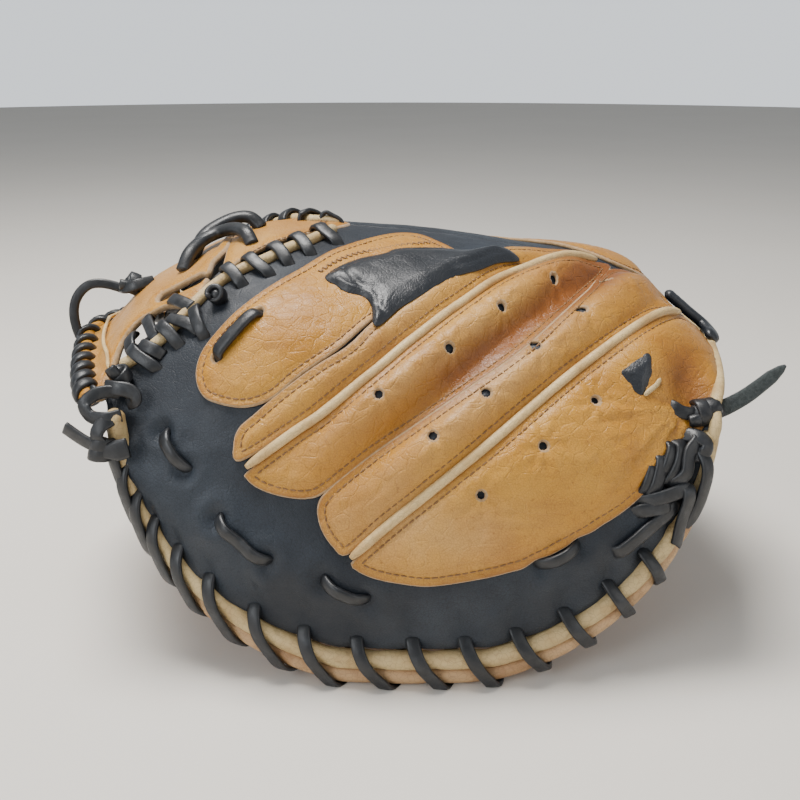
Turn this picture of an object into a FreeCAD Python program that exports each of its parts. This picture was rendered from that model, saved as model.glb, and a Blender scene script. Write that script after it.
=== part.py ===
"""Catcher's mitt for the left hand, standing like a tent on its two rims, in millimetres.

The finger half faces -Y, the thumb half faces +Y, the web is at -X and the hand opening at +X.
Every leather layer is a shell between two offsets of one dome, whose rim and crest are set by the
sizes in the sheet.  Panels, tabs and piping are drawn on a flat board that leans against the finger
half (a along X, b up the slope) and laid onto the dome.
"""
import FreeCAD
import Part
import math
import os
from FreeCAD import Placement, Rotation, Vector

os.makedirs("parts", exist_ok=True)
doc = FreeCAD.newDocument("CatchersMitt")

# ---------------------------------------------------------------- driving dimensions
DIMENSIONS = [
    ("rim_centre", 6, "x of the middle of both rims"),
    ("rim_half_width", 122, "half the width of the rim's arc"),
    ("rim_height", 88, "height of the rim's arc"),
    ("rim_level", 98, "z of the rim's widest level"),
    ("rim_reach", 115, "y distance from the rim's lowest point to the middle"),
    ("rim_bow", 75, "how far the rim bows inward towards its ends"),
    ("bow_span", 150, "half width over which the rim bows"),
    ("thumb_share", 0.94, "size of the thumb rim compared with the finger rim"),
    ("leather", 2.6, "thickness of the outer leather"),
    ("lining", 1.6, "thickness of the soft lining"),
    ("panel_lift", 3.0, "height of the sewn panels over the back shell"),
    ("play", 0.4, "gap between neighbouring layers"),
    ("palm_depth", 33, "padding that the palm adds to the rim's thickness"),
    ("hand_space", 17, "height of the space for the hand"),
    ("rim_thickness", 9, "thickness of the layers at the rim"),
    ("rim_flat", 3.0, "how much the rim's arc is flattened where it rests"),
    ("binding_radius", 3.7, "radius of the binding round the back's edge"),
    ("palm_binding_radius", 4.4, "radius of the binding round the palm's edge"),
    ("piping_radius", 2.1, "radius of the piping on the back"),
    ("lace_thickness", 2.4, "thickness of the lacing"),
    ("wrap_count", 15, "lace wraps along each rim"),
    ("wrap_radius", 8.2, "radius of a lace wrap around both bindings"),
    ("web_edge_radius", 2.6, "radius of the binding beside the web"),
    ("wrist_edge_radius", 2.4, "radius of the binding round the wrist opening"),
    ("web_rim_radius", 4.2, "radius of the web's rolled rim"),
    ("tail_diameter", 5.2, "diameter of the wrist lace's end"),
    ("loop_diameter", 4.0, "diameter of the lace loop at the web"),
    ("tab_side", 13, "side of the small strap tab"),
    ("tab_height", 3.2, "height of the small strap tab"),
    ("tab_rounding", 1.0, "rounding along the tab's upper edges"),
    ("knot_radius", 5.0, "radius of a lace knot"),
]
sheet = doc.addObject("Spreadsheet::Sheet", "Sizes")
for row, (alias, value, meaning) in enumerate(DIMENSIONS, start=1):
    sheet.set(f"A{row}", meaning)
    sheet.set(f"B{row}", str(value))
    sheet.setAlias(f"B{row}", alias)
doc.recompute()


def size(alias):
    """Read one driving dimension as a plain number."""
    return float(getattr(sheet, alias))


LEATHER, LINING, PLAY = size("leather"), size("lining"), size("play")
FINGER, THUMB = -1, 1          # the side of the mitt that a half lies on, as the sign of its y
SIDE_NAMES = {FINGER: "finger", THUMB: "thumb"}

# crest of the dome, from the web to the wrist
CREST = [(-146, 8, 122), (-112, 12, 150), (-66, 18, 170), (-10, 20, 170),
         (50, 18, 163), (105, 10, 152), (148, 2, 122)]
ROUNDNESS = 0.85               # below 1 makes the dome's section fuller than an ellipse
RIM_START, RIM_TURN = math.radians(172), math.radians(196)
THINNEST_PAD = 3.0
ORIGIN_SHIFT = Vector(1.8, 4.0, -1.3)   # brings the origin to the middle of the mitt's underside
CORE_LENGTH, CORE_LEVEL = 150, 55   # line inside the pocket that the layers are stacked away from


# ---------------------------------------------------------------- the dome
def smooth(value):
    """Ease from 0 to 1 with level ends."""
    value = min(max(value, 0.0), 1.0)
    return value * value * (3 - 2 * value)


def crest_point(along):
    """Point of the crest, a Catmull-Rom curve, for along from 0 at the web to 1 at the wrist."""
    points = [Vector(*point) for point in CREST]
    points = [points[0] * 2 - points[1]] + points + [points[-1] * 2 - points[-2]]
    place = min(max(along, 0.0), 1.0) * (len(CREST) - 1)
    index = min(int(place), len(CREST) - 2)
    step = place - index
    before, start, end, after = points[index:index + 4]
    return (start * 2 + (end - before) * step
            + (before * 2 - start * 5 + end * 4 - after) * step ** 2
            + (start * 3 - before - end * 3 + after) * step ** 3) * 0.5


def rim_point(side, along):
    """Point of a rim, which runs from the web corner through the lowest point to the wrist corner."""
    share = 1.0 if side == FINGER else size("thumb_share")
    turn = RIM_START + RIM_TURN * along
    offset_x = share * size("rim_half_width") * math.cos(turn)
    lowest = size("rim_level") - size("rim_height")
    arc, flat = share * size("rim_height"), size("rim_flat")
    rise = max(arc * (1 + math.sin(turn)) - flat, 0) * arc / (arc - flat)
    bow = size("rim_bow") * (1 - math.sqrt(1 - (offset_x / size("bow_span")) ** 2))
    reach = size("rim_reach") - (0 if side == FINGER else 8)
    return Vector(size("rim_centre") * share + offset_x, side * (reach - bow), lowest + rise)


def dome_point(side, along, rise):
    """Point of the dome's outer surface; rise is 0 at the rim and 1 at the crest."""
    low, high = rim_point(side, along), crest_point(along)
    corner = Vector(0.6 * low.x + 0.4 * high.x, low.y, high.z)
    centre = low + high - corner
    angle = rise * math.pi / 2
    reach_low = abs(math.cos(angle)) ** ROUNDNESS
    reach_high = abs(math.sin(angle)) ** ROUNDNESS
    return centre + (low - centre) * reach_low + (high - centre) * reach_high


def dome_normal(side, along, rise):
    """Unit direction out of the mitt, away from a straight core line in the pocket."""
    core = Vector(size("rim_centre") + CORE_LENGTH * (along - 0.5), 0, CORE_LEVEL)
    return (dome_point(side, along, rise) - core).normalize()


def ends_share(along):
    """1 in the middle of the mitt, falling to 0 at the web corner and the wrist corner."""
    return smooth(along / 0.2) * smooth((1 - along) / 0.12)


def thickness(along, rise):
    """Depth of the palm leather's inner face under the dome."""
    return size("rim_thickness") + size("palm_depth") * smooth(rise / 0.45) * (
        0.45 + 0.55 * ends_share(along))


def hand_gap(along, rise):
    """Height of the space for the hand between back lining and palm lining."""
    return 0.6 + size("hand_space") * smooth((rise - 0.12) / 0.3) * (
        0.55 + 0.45 * smooth(along / 0.25))


def back_lining_depth(along, rise):
    return LEATHER + PLAY + LINING


def palm_lining_depth(along, rise):
    return back_lining_depth(along, rise) + hand_gap(along, rise)


def pad_bottom(along, rise):
    """Depth of the palm pad's lower face, never nearer than a few millimetres to its upper one."""
    upper = palm_lining_depth(along, rise) + LINING + PLAY
    spare = thickness(along, rise) - LEATHER - PLAY - upper - THINNEST_PAD
    return upper + THINNEST_PAD + 0.5 * (spare + math.sqrt(spare ** 2 + 9))


def at_depth(function, extra=0.0):
    """A depth function moved inward by a fixed amount."""
    return lambda along, rise: function(along, rise) + extra


def level(depth):
    return lambda along, rise: depth


# ---------------------------------------------------------------- shape makers
def spline_face(rows):
    surface = Part.BSplineSurface()
    surface.interpolate(rows)
    return surface.toShape()


def closed_solid(faces):
    shell = Part.makeShell(faces)
    shell.sewShape()
    solid = Part.makeSolid(shell)
    if solid.Volume < 0:
        solid.reverse()
    return solid


def shell_between(grid_top, grid_bottom):
    """Closed solid between two grids of points that have the same rows and columns."""
    top, bottom = spline_face(grid_top), spline_face(grid_bottom)
    faces = [top, bottom]
    for pick in (lambda grid: grid[0], lambda grid: grid[-1],
                 lambda grid: [line[0] for line in grid], lambda grid: [line[-1] for line in grid]):
        edges = []
        for grid, face in ((grid_top, top), (grid_bottom, bottom)):
            line = pick(grid)
            edges.append(min(face.Edges, key=lambda edge: max(
                edge.distToShape(Part.Vertex(line[0]))[0],
                edge.distToShape(Part.Vertex(line[-1]))[0])))
        faces.append(Part.makeRuledSurface(*edges))
    return closed_solid(faces)


def wrist_end(rise):
    """Along at which the layers end at the wrist; near the rim they stop short of its corner."""
    return 0.93 + 0.055 * smooth(rise / 0.35)


def layer(side, along_range, rise_range, outer, inner, columns=17, lines=13, limit=None):
    """Solid layer of the dome between two depth functions (positive depth is inward).

    limit gives the highest rise for each along, where the layer is cut back beside the web.
    """
    grids = ([], [])
    for column in range(columns):
        share = column / (columns - 1)
        widest = along_range[0] + (along_range[1] - along_range[0]) * share
        top = min(rise_range[1], limit(widest)) if limit else rise_range[1]
        rows = ([], [])
        for line in range(lines):
            rise = rise_range[0] + (top - rise_range[0]) * line / (lines - 1)
            end = min(along_range[1], wrist_end(rise))
            along = along_range[0] + (end - along_range[0]) * share
            base, normal = dome_point(side, along, rise), dome_normal(side, along, rise)
            rows[0].append(base - normal * outer(along, rise))
            rows[1].append(base - normal * inner(along, rise))
        grids[0].append(rows[0])
        grids[1].append(rows[1])
    return shell_between(*grids)


BOARD_TILT = math.radians(55)
BOARD_RIGHT = Vector(1, 0, 0)
BOARD_LOW = 58                 # slope coordinate of the line y = z = 0


def board_up(side):
    return Vector(0, -side * math.cos(BOARD_TILT), math.sin(BOARD_TILT))


def board_normal(side):
    return Vector(0, side * math.sin(BOARD_TILT), math.cos(BOARD_TILT))


def board_point(side, a, b, height=0.0):
    """Space point of the board's a (along X) and b (up the slope)."""
    return BOARD_RIGHT * a + board_up(side) * (b - BOARD_LOW) + board_normal(side) * height


PRISM_START, PRISM_HEIGHT = -60, 320
OUTLINE_PIECES = 8             # a round outline is cut into pieces so that its faces stay simple


def prism(side, outline, is_round=True):
    """Tall prism over an outline on the board, used to cut a piece out of a layer."""
    points = [board_point(side, a, b, PRISM_START) for a, b in outline]
    if is_round:
        curve = Part.BSplineCurve()
        curve.interpolate(points, PeriodicFlag=True)
        span = (curve.LastParameter - curve.FirstParameter) / OUTLINE_PIECES
        cuts = [curve.FirstParameter + span * number for number in range(OUTLINE_PIECES + 1)]
        wire = Part.Wire([curve.toShape(start, end) for start, end in zip(cuts, cuts[1:])])
    else:
        wire = Part.makePolygon(points + [points[0]])
    return Part.Face(wire).extrude(board_normal(side) * PRISM_HEIGHT)


def locate(side, a, b):
    """The dome's along and rise that lie straight over (a, b) of the board."""
    along, rise = 0.5, 0.4
    up, step = board_up(side), 1e-3
    for _ in range(40):
        here = dome_point(side, along, rise)
        miss_a, miss_b = a - here.x, b - (here.dot(up) + BOARD_LOW)
        if abs(miss_a) + abs(miss_b) < 0.01:
            break
        on_along = (dome_point(side, along + step, rise) - here) * (1 / step)
        on_rise = (dome_point(side, along, rise + step) - here) * (1 / step)
        rows = ((on_along.x, on_rise.x), (on_along.dot(up), on_rise.dot(up)))
        spread = rows[0][0] * rows[1][1] - rows[0][1] * rows[1][0]
        along += 0.7 * (miss_a * rows[1][1] - miss_b * rows[0][1]) / spread
        rise += 0.7 * (miss_b * rows[0][0] - miss_a * rows[1][0]) / spread
        along, rise = min(max(along, 0.0), 0.998), min(max(rise, 0.01), 0.99)
    return along, rise


def on_dome(side, a, b, lift=0.0):
    """Point on the dome that lies straight over (a, b) of the board, lifted off the leather."""
    along, rise = locate(side, a, b)
    return dome_point(side, along, rise) + dome_normal(side, along, rise) * lift


def rounded_path(points):
    """Straight runs joined by tangent arcs as large as the runs allow; returns wire and radii."""
    edges, radii, start = [], [], points[0]
    for before, corner, after in zip(points, points[1:], points[2:]):
        run_in, run_out = corner - before, after - corner
        shorter = min(run_in.Length, run_out.Length)
        half_turn = run_in.getAngle(run_out) / 2
        run_in.normalize()
        run_out.normalize()
        reach = 0.45 * shorter
        radii.append(reach / math.tan(half_turn))
        enter, leave = corner - run_in * reach, corner + run_out * reach
        inward = run_out - run_in
        inward.normalize()
        middle = corner + inward * (radii[-1] / math.cos(half_turn) - radii[-1])
        edges.append(Part.LineSegment(start, enter).toShape())
        edges.append(Part.Arc(enter, middle, leave).toShape())
        start = leave
    edges.append(Part.LineSegment(start, points[-1]).toShape())
    return Part.Wire(edges), radii


def tube(points, radius):
    """Round tube along a rounded path, checked against its section times its length."""
    path, radii = rounded_path(points)
    start = (points[1] - points[0]).normalize()
    profile = Part.Wire(Part.makeCircle(radius, points[0], start))
    solid = path.makePipeShell([profile], True, False)
    expected = math.pi * radius ** 2 * path.Length
    if abs(solid.Volume - expected) > 0.03 * expected:
        raise ValueError(f"tube volume {solid.Volume:.0f} is not {expected:.0f}")
    return solid, path.Length, min(radii, default=0)


def lace_ring(centre, axis, major, minor):
    """One closed turn of lace around a binding."""
    return Part.makeTorus(major, minor, centre, axis)


def lace_bar(start, end, sink, radius):
    """A lace that comes out of one hole and dives into the next."""
    direction = (end - start).normalize()
    return tube([start - sink - direction * radius, start + direction * radius,
                 end - direction * radius, end - sink + direction * radius], radius)[0]


# ---------------------------------------------------------------- document helpers
nodes = []


def add_feature(label, shape):
    """A sub-part whose shape is made by Part functions from the sheet's sizes."""
    item = doc.addObject("Part::Feature", label)
    item.Label = label
    item.Shape = shape
    item.Placement = Placement(Vector(0, 0, 0), Rotation())
    nodes.append(item)
    return item


def add_group(label, solids):
    add_feature(label, Part.makeCompound(solids))


def origin_plane(body, role):
    return next(item for item in body.Origin.OriginFeatures if item.Role == role)


def place_on_board(side, a, b, height, turn=0.0):
    """Placement whose local Z is the board's normal at a point just over the dome."""
    spot = on_dome(side, a, b, height)
    normal = board_normal(side)
    right = BOARD_RIGHT * math.cos(turn) + board_up(side) * math.sin(turn)
    up = normal.cross(right)
    frame = FreeCAD.Matrix(right.x, up.x, normal.x, spot.x, right.y, up.y, normal.y, spot.y,
                           right.z, up.z, normal.z, spot.z, 0, 0, 0, 1)
    return Placement(frame)


def padded_plate(label, corners, height_alias, rounding_alias, placement):
    """PartDesign plate: a closed sketch of lines, padded and rounded along its top edges."""
    body = doc.addObject("PartDesign::Body", label + "_body")
    body.Label = label
    sketch = body.newObject("Sketcher::SketchObject", label + "_sketch")
    sketch.AttachmentSupport = [(origin_plane(body, "XY_Plane"), "")]
    sketch.MapMode = "FlatFace"
    for start, end in zip(corners, corners[1:] + corners[:1]):
        sketch.addGeometry(Part.LineSegment(Vector(*start, 0), Vector(*end, 0)), False)
    pad = body.newObject("PartDesign::Pad", label + "_pad")
    pad.Profile = sketch
    pad.setExpression("Length", f"Sizes.{height_alias}")
    doc.recompute()
    rounded = body.newObject("PartDesign::Fillet", label + "_rounding")
    top = max(vertex.Z for vertex in pad.Shape.Vertexes)
    names = [f"Edge{number}" for number, edge in enumerate(pad.Shape.Edges, start=1)
             if all(abs(vertex.Z - top) < 1e-6 for vertex in edge.Vertexes)]
    rounded.Base = (pad, names)
    rounded.setExpression("Radius", f"Sizes.{rounding_alias}")
    body.Tip = rounded
    body.Placement = placement
    nodes.append(body)
    return body


# ---------------------------------------------------------------- outlines on the board
WEB_EDGE = [(-122, 109), (-101, 135), (-84, 151), (-68, 167), (-49, 181), (-28, 199)]
WEB_BINDING_START = (-114, 116)
INDEX_PANEL = [(2, 197), (-27, 181), (-43, 166), (-58, 152), (-71, 139), (-80, 128), (-83, 118),
               (-80, 109), (-73, 105), (-62, 103), (-51, 106), (-40, 114), (-24, 125), (-11, 139),
               (10, 158), (30, 173), (20, 188)]
HOOD = [(-34, 169), (-25, 180), (-14, 187), (0, 192), (18, 195), (36, 198), (52, 198), (57, 192),
        (46, 185), (27, 175), (10, 163), (-2, 152), (-10, 142), (-14, 148), (-19, 156), (-25, 162)]
UPPER_PIPING = [(-61, 79), (-42, 92), (-30, 100), (-11, 116), (5, 131), (25, 149), (47, 168),
                (74, 181), (92, 186)]
LOWER_PIPING = [(-19, 45), (-5, 56), (11, 68), (31, 84), (51, 101), (72, 119), (95, 137),
                (113, 150), (126, 156)]
VALLEY = [(-27, 71), (-10, 84), (9, 97), (29, 111), (49, 126), (66, 143), (82, 161), (99, 182)]
SEAM = 0.9                     # half the gap between two panels that are sewn edge to edge


def shifted(line, step_a, step_b):
    return [(a + step_a, b + step_b) for a, b in line]


MIDDLE_PANEL = ([(-64, 82), (-66, 88), (-64, 94), (-58, 99), (-49, 106), (-34, 116), (-20, 125),
                 (-9, 138), (11, 160), (32, 176), (58, 190), (84, 194)]
                + shifted(UPPER_PIPING[::-1], -2, 2)[:-1])
RING_PANEL = (shifted(UPPER_PIPING, 2, -2) + shifted(VALLEY[::-1], -SEAM, SEAM)[:-1]
              + [(-29, 70), (-37, 67), (-47, 68), (-56, 71), (-61, 75)])
LITTLE_PANEL = (shifted(VALLEY, SEAM, -SEAM) + [(120, 176)] + shifted(LOWER_PIPING[::-1], -2, 2)
                + [(-26, 49), (-31, 56), (-32, 64)])
EDGE_PANEL = (shifted(LOWER_PIPING, 2, -2)
              + [(138, 150), (140, 128), (131, 106), (122, 93), (115, 86), (104, 76), (91, 65),
                 (78, 57), (61, 48), (45, 41), (28, 37), (12, 35), (0, 36), (-10, 38), (-17, 41)])
THUMB_PANEL = [(128, 150), (120, 118), (98, 98), (70, 84), (40, 78), (8, 80), (-20, 88), (-40, 102),
               (-46, 118), (-38, 134), (-18, 146), (10, 152), (40, 158), (75, 168), (105, 176)]
THUMB_PIPING = [(-34, 108), (-10, 108), (20, 110), (52, 117), (84, 130), (112, 148)]
VENT_HOLES = [(-8, 106), (20, 126), (42, 146), (67, 165), (13, 90), (34, 107), (55, 128),
              (76, 146), (94, 171), (32, 68), (56, 87), (79, 106)]
THUMB_VENTS = [(10, 130), (45, 138), (20, 94), (58, 100)]
VENT_RADIUS = 2.7


# ---------------------------------------------------------------- leather halves
WEB_CORNER = 0.075             # along at which the layers start, clear of the web corner
WRIST_END = 0.985
TOP_RISE = 0.994
LAYER_COLUMNS, TRIMMED_COLUMNS, LAYER_LINES = 17, 29, 25


def web_limit(side):
    """Highest rise for each along beside the web, straight between the points of the web's edge."""
    stops = [locate(side, *point) for point in WEB_EDGE[1:-1]]
    slope = (stops[1][1] - stops[0][1]) / (stops[1][0] - stops[0][0])
    stops = [(0.0, stops[0][1] - slope * stops[0][0])] + stops + [(0.46, TOP_RISE), (1.0, TOP_RISE)]

    def limit(along):
        for (low, low_rise), (high, high_rise) in zip(stops, stops[1:]):
            if along <= high:
                return low_rise + (high_rise - low_rise) * (along - low) / (high - low)
        return TOP_RISE
    return limit


LAYERS = [
    ("back_shell", (WEB_CORNER, WRIST_END), (0.024, TOP_RISE), level(0.0), level(LEATHER), True),
    ("back_lining", (0.1, WRIST_END - 0.01), (0.14, 0.985), level(LEATHER + PLAY),
     back_lining_depth, True),
    ("palm_lining", (0.1, 0.92), (0.14, 0.99), palm_lining_depth,
     at_depth(palm_lining_depth, LINING), False),
    ("palm_pad", (0.085, 0.915), (0.1, 0.99), at_depth(palm_lining_depth, LINING + PLAY),
     pad_bottom, False),
    ("palm_shell", (WEB_CORNER, 0.925), (0.02, TOP_RISE), at_depth(pad_bottom, PLAY),
     at_depth(pad_bottom, PLAY + LEATHER), False),
]
for side in (FINGER, THUMB):
    for name, along_range, rise_range, outer, inner, is_trimmed in LAYERS:
        limit = web_limit(side) if is_trimmed else None
        columns = TRIMMED_COLUMNS if is_trimmed else LAYER_COLUMNS
        add_feature(f"{SIDE_NAMES[side]}_{name}",
                    layer(side, along_range, rise_range, outer, inner, columns, LAYER_LINES, limit))


def panel_solid(side, outline, holes, low=PLAY, high=size("panel_lift")):
    """Panel of leather that stands over the back shell, with its vent holes punched through."""
    skin = layer(side, (WEB_CORNER, 0.975), (0.1, 0.985), level(-high), level(-low))
    panel = skin.common(prism(side, outline))
    for a, b in holes:
        spot = on_dome(side, a, b, -10)
        normal = on_dome(side, a, b, 10) - spot
        panel = panel.cut(Part.makeCylinder(VENT_RADIUS, 20, spot, normal))
    return panel


PANELS = [
    ("index_finger_panel", FINGER, INDEX_PANEL, []),
    ("middle_finger_panel", FINGER, MIDDLE_PANEL, []),
    ("ring_finger_panel", FINGER, RING_PANEL, VENT_HOLES[:4]),
    ("little_finger_panel", FINGER, LITTLE_PANEL, VENT_HOLES[4:9]),
    ("outer_edge_panel", FINGER, EDGE_PANEL, VENT_HOLES[9:]),
    ("thumb_panel", THUMB, THUMB_PANEL, THUMB_VENTS),
]
for name, side, outline, holes in PANELS:
    add_feature(name, panel_solid(side, outline, holes))
add_feature("finger_hood", panel_solid(FINGER, HOOD, [], size("panel_lift") + PLAY, 8.5))

for name, side, line in (("upper_piping", FINGER, UPPER_PIPING), ("lower_piping", FINGER, LOWER_PIPING),
                         ("thumb_piping", THUMB, THUMB_PIPING)):
    points = [on_dome(side, a, b, 2.6) for a, b in line]
    add_feature(name, tube(points, size("piping_radius"))[0])

# ---------------------------------------------------------------- bindings and rim lacing
BINDING_STOPS = [0.0, 0.09, 0.18, 0.27, 0.36, 0.42, 0.58, 0.64, 0.73, 0.82, 0.91, 1.0]
BINDINGS = [("back_binding", "binding_radius", 1, 0.5), ("palm_binding", "palm_binding_radius", -1, 3.0)]
WRAP = size("lace_thickness") / 2
WRAP_SPACE = WRAP + 0.2        # from a binding's surface to the middle of the lace round it
for side in (FINGER, THUMB):
    name = SIDE_NAMES[side]
    for kind, alias, direction, depth in BINDINGS:
        radius, points = size(alias), []
        for along in BINDING_STOPS:
            slope = (dome_point(side, along, 0.06) - dome_point(side, along, 0.01)).normalize()
            inward = dome_normal(side, along, 0.05) * -depth
            points.append(rim_point(side, along) + slope * direction * (radius + 0.2) + inward)
        add_feature(f"{name}_{kind}", tube(points, radius)[0])
    wraps = []
    for number in range(int(size("wrap_count"))):
        along = 0.06 + 0.9 * number / (size("wrap_count") - 1)
        tangent = rim_point(side, along + 0.01) - rim_point(side, along - 0.01)
        wraps.append(lace_ring(rim_point(side, along) + Vector(0, 0, 1.5), tangent,
                               size("wrap_radius"), WRAP))
    add_group(f"{name}_rim_lace", wraps)

# ---------------------------------------------------------------- edges beside the web
for side in (FINGER, THUMB):
    name = SIDE_NAMES[side]
    edge = [on_dome(side, a - 2.5, b + 2.5, 0.5) for a, b in [WEB_BINDING_START] + WEB_EDGE[1:]]
    radius = size("web_edge_radius")
    add_feature(f"{name}_web_binding", tube(edge, radius)[0])
    stations = [edge[2], (edge[2] + edge[3]) * 0.5, edge[3], (edge[3] + edge[4]) * 0.5, edge[4],
                (edge[4] + edge[5]) * 0.5]
    wraps = [lace_ring(station, edge[3] - edge[2], radius + WRAP_SPACE, WRAP) for station in stations]
    add_group(f"{name}_web_lace", wraps)
    wrist = []
    for rise in (0.1, 0.24, 0.4, 0.56, 0.72, 0.86, 0.96):
        end = wrist_end(rise) + 0.014
        wrist.append(dome_point(side, end, rise) + dome_normal(side, end, rise) * 1.5)
    add_feature(f"{name}_wrist_binding", tube(wrist, size("wrist_edge_radius"))[0])

# ---------------------------------------------------------------- web
WEB_PANEL = [(-124, 116), (-121, 130), (-109, 149), (-97, 163), (-87, 174)]
CROTCH_EDGE = [(-80, 169), (-66, 182), (-47, 196), (-28, 212)]


def patch_over_crest(along_range, lowest_rise, outer, inner):
    """Layer that runs from the finger half over the crest onto the thumb half."""
    grids = ([], [])
    for column in range(9):
        along = along_range[0] + (along_range[1] - along_range[0]) * column / 8
        rows = ([], [])
        for line in range(17):
            rise = lowest_rise + (2 - 2 * lowest_rise) * line / 16
            side, rise = (FINGER, rise) if rise <= 1 else (THUMB, 2 - rise)
            base, normal = dome_point(side, along, rise), dome_normal(side, along, rise)
            rows[0].append(base - normal * outer)
            rows[1].append(base - normal * inner)
        grids[0].append(rows[0])
        grids[1].append(rows[1])
    return shell_between(*grids)


def web_patch(along_range, edge):
    """Leather patch over the crest, trimmed along the same edge line on both halves."""
    patch = patch_over_crest(along_range, 0.2, -0.6, LEATHER)
    for side in (FINGER, THUMB):
        below = edge + [(60, edge[-1][1]), (60, -60), (-200, -60), (-200, edge[0][1])]
        patch = patch.cut(prism(side, below, is_round=False))
    return patch


add_feature("web_panel", web_patch((0.0, 0.245), WEB_PANEL))
add_feature("crotch_panel", web_patch((0.27, 0.44), CROTCH_EDGE))
web_rim = ([dome_point(FINGER, 0.0, rise) for rise in (0.3, 0.5, 0.7, 0.88)]
           + [dome_point(THUMB, 0.0, rise) for rise in (0.88, 0.7, 0.5, 0.3)])
web_rim = [point + Vector(-5.5, 0, -1) for point in web_rim]
rim_radius = size("web_rim_radius")
add_feature("web_rim_binding", tube(web_rim, rim_radius)[0])
rim_wraps = [lace_ring((start + end) * 0.5, end - start, rim_radius + WRAP_SPACE, WRAP)
             for start, end in zip(web_rim, web_rim[1:])]
add_group("web_rim_lace", rim_wraps)

# ---------------------------------------------------------------- laces through the back
ANCHOR_BARS = [((-98, 95), (-88, 79)), ((-74, 60), (-53, 43)), ((-31, 36), (-13, 28)),
               ((55, 42), (72, 50))]
bars = []
for low, high in ANCHOR_BARS:
    start, end = on_dome(FINGER, *low, WRAP), on_dome(FINGER, *high, WRAP)
    bars.append(lace_bar(start, end, dome_normal(FINGER, 0.5, 0.3) * 6, WRAP))
add_group("anchor_laces", bars)
start, end = on_dome(FINGER, -74, 123, 4.5), on_dome(FINGER, -56, 141, 4.5)
add_feature("index_lace", lace_bar(start, end, board_normal(FINGER) * 7, WRAP))
HEEL_BARS = [((99, 62), (110, 80)), ((106, 58), (117, 78)), ((113, 56), (124, 76)),
             ((101, 80), (117, 60)), ((108, 88), (124, 66))]
bars = []
for number, (low, high) in enumerate(HEEL_BARS):
    lift = WRAP + (0 if number < 3 else 2 * WRAP + 0.3)
    start, end = on_dome(FINGER, *low, lift), on_dome(FINGER, *high, lift)
    bars.append(tube([start, (start + end) * 0.5 + board_normal(FINGER) * 0.5, end], WRAP)[0])
add_group("heel_lace", bars)

# ---------------------------------------------------------------- tab, strap, knots and free ends
side_length = size("tab_side")
tab = [(0.0, 0.0), (side_length, 0.2 * side_length), (0.75 * side_length, 1.1 * side_length)]
padded_plate("strap_tab", tab, "tab_height", "tab_rounding",
             place_on_board(FINGER, 94, 112, size("panel_lift") + PLAY, math.radians(10)))
STRAP = [(108, 183), (120, 186), (134, 166), (146, 146), (140, 138), (128, 156), (116, 172)]
add_feature("wrist_strap", panel_solid(FINGER, STRAP, [], size("panel_lift") + PLAY, 6.5))


def add_ball(label, centre, alias):
    """Round stopper knot, a sphere whose radius is bound to the sheet."""
    ball = doc.addObject("Part::Sphere", label)
    ball.Label = label
    ball.setExpression("Radius", f"Sizes.{alias}")
    ball.Placement = Placement(centre, Rotation())
    nodes.append(ball)


add_ball("web_stop_knot", on_dome(FINGER, -76, 149, 5.0), "knot_radius")
WRIST_TAIL = [(133, -76, 110), (142, -75, 114), (151, -74, 121), (160, -73, 129)]
tail, tail_length, tail_bend = tube([Vector(*point) for point in WRIST_TAIL],
                                    size("tail_diameter") / 2)
add_feature("wrist_lace_tail", tail)
add_ball("wrist_lace_knot", Vector(127, -77, 109), "knot_radius")
WEB_LOOP = [(-133, 3, 143), (-145, 2, 148), (-155, 0, 142), (-158, -2, 130), (-155, -3, 121)]
loop, loop_length, loop_bend = tube([Vector(*point) for point in WEB_LOOP],
                                    size("loop_diameter") / 2)
add_feature("web_lace_loop", loop)
add_ball("web_loop_knot", Vector(-128, 4, 146), "knot_radius")
add_ball("corner_knot_upper", Vector(-122, -86, 118), "knot_radius")
add_ball("corner_knot_lower", Vector(-128, -82, 95), "knot_radius")
print(f"wrist tail {tail_length:.1f} mm, tightest bend {tail_bend:.1f} mm")
print(f"web loop {loop_length:.1f} mm, tightest bend {loop_bend:.1f} mm")

# ---------------------------------------------------------------- origin, checks and export
for item in nodes:
    item.Placement = Placement(ORIGIN_SHIFT, Rotation()).multiply(item.Placement)
doc.recompute()
for item in doc.Objects:
    if {"Invalid", "Error"} & set(item.State):
        raise RuntimeError(f"{item.Label} failed: {item.State}")
for item in nodes:
    if item.Shape.isNull() or not item.Shape.isValid() or not item.Shape.Solids:
        raise RuntimeError(f"{item.Label} has no valid solid")
for item in nodes:
    item.Shape.exportStep(f"parts/{item.Label}.step")
    box = item.Shape.BoundBox
    print(f"{item.Label:28s} {item.Shape.Volume:9.0f} mm3  x {box.XMin:6.1f} {box.XMax:6.1f}"
          f"  y {box.YMin:6.1f} {box.YMax:6.1f}  z {box.ZMin:6.1f} {box.ZMax:6.1f}")
print(f"{len(nodes)} nodes")
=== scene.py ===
"""Left-hand catcher's mitt in tan and black leather, standing on its two rims.

Lengths are millimetres in the mitt's own model frame.  Every leather layer lies on one dome, which
has a finger half (-Y), a thumb half (+Y), a web (-X) and a wrist opening (+X).  add_mesh() moves
the finished points into the row frame, in metres.
"""
import math

import bmesh
import bpy
import numpy as np
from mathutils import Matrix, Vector, geometry


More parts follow.
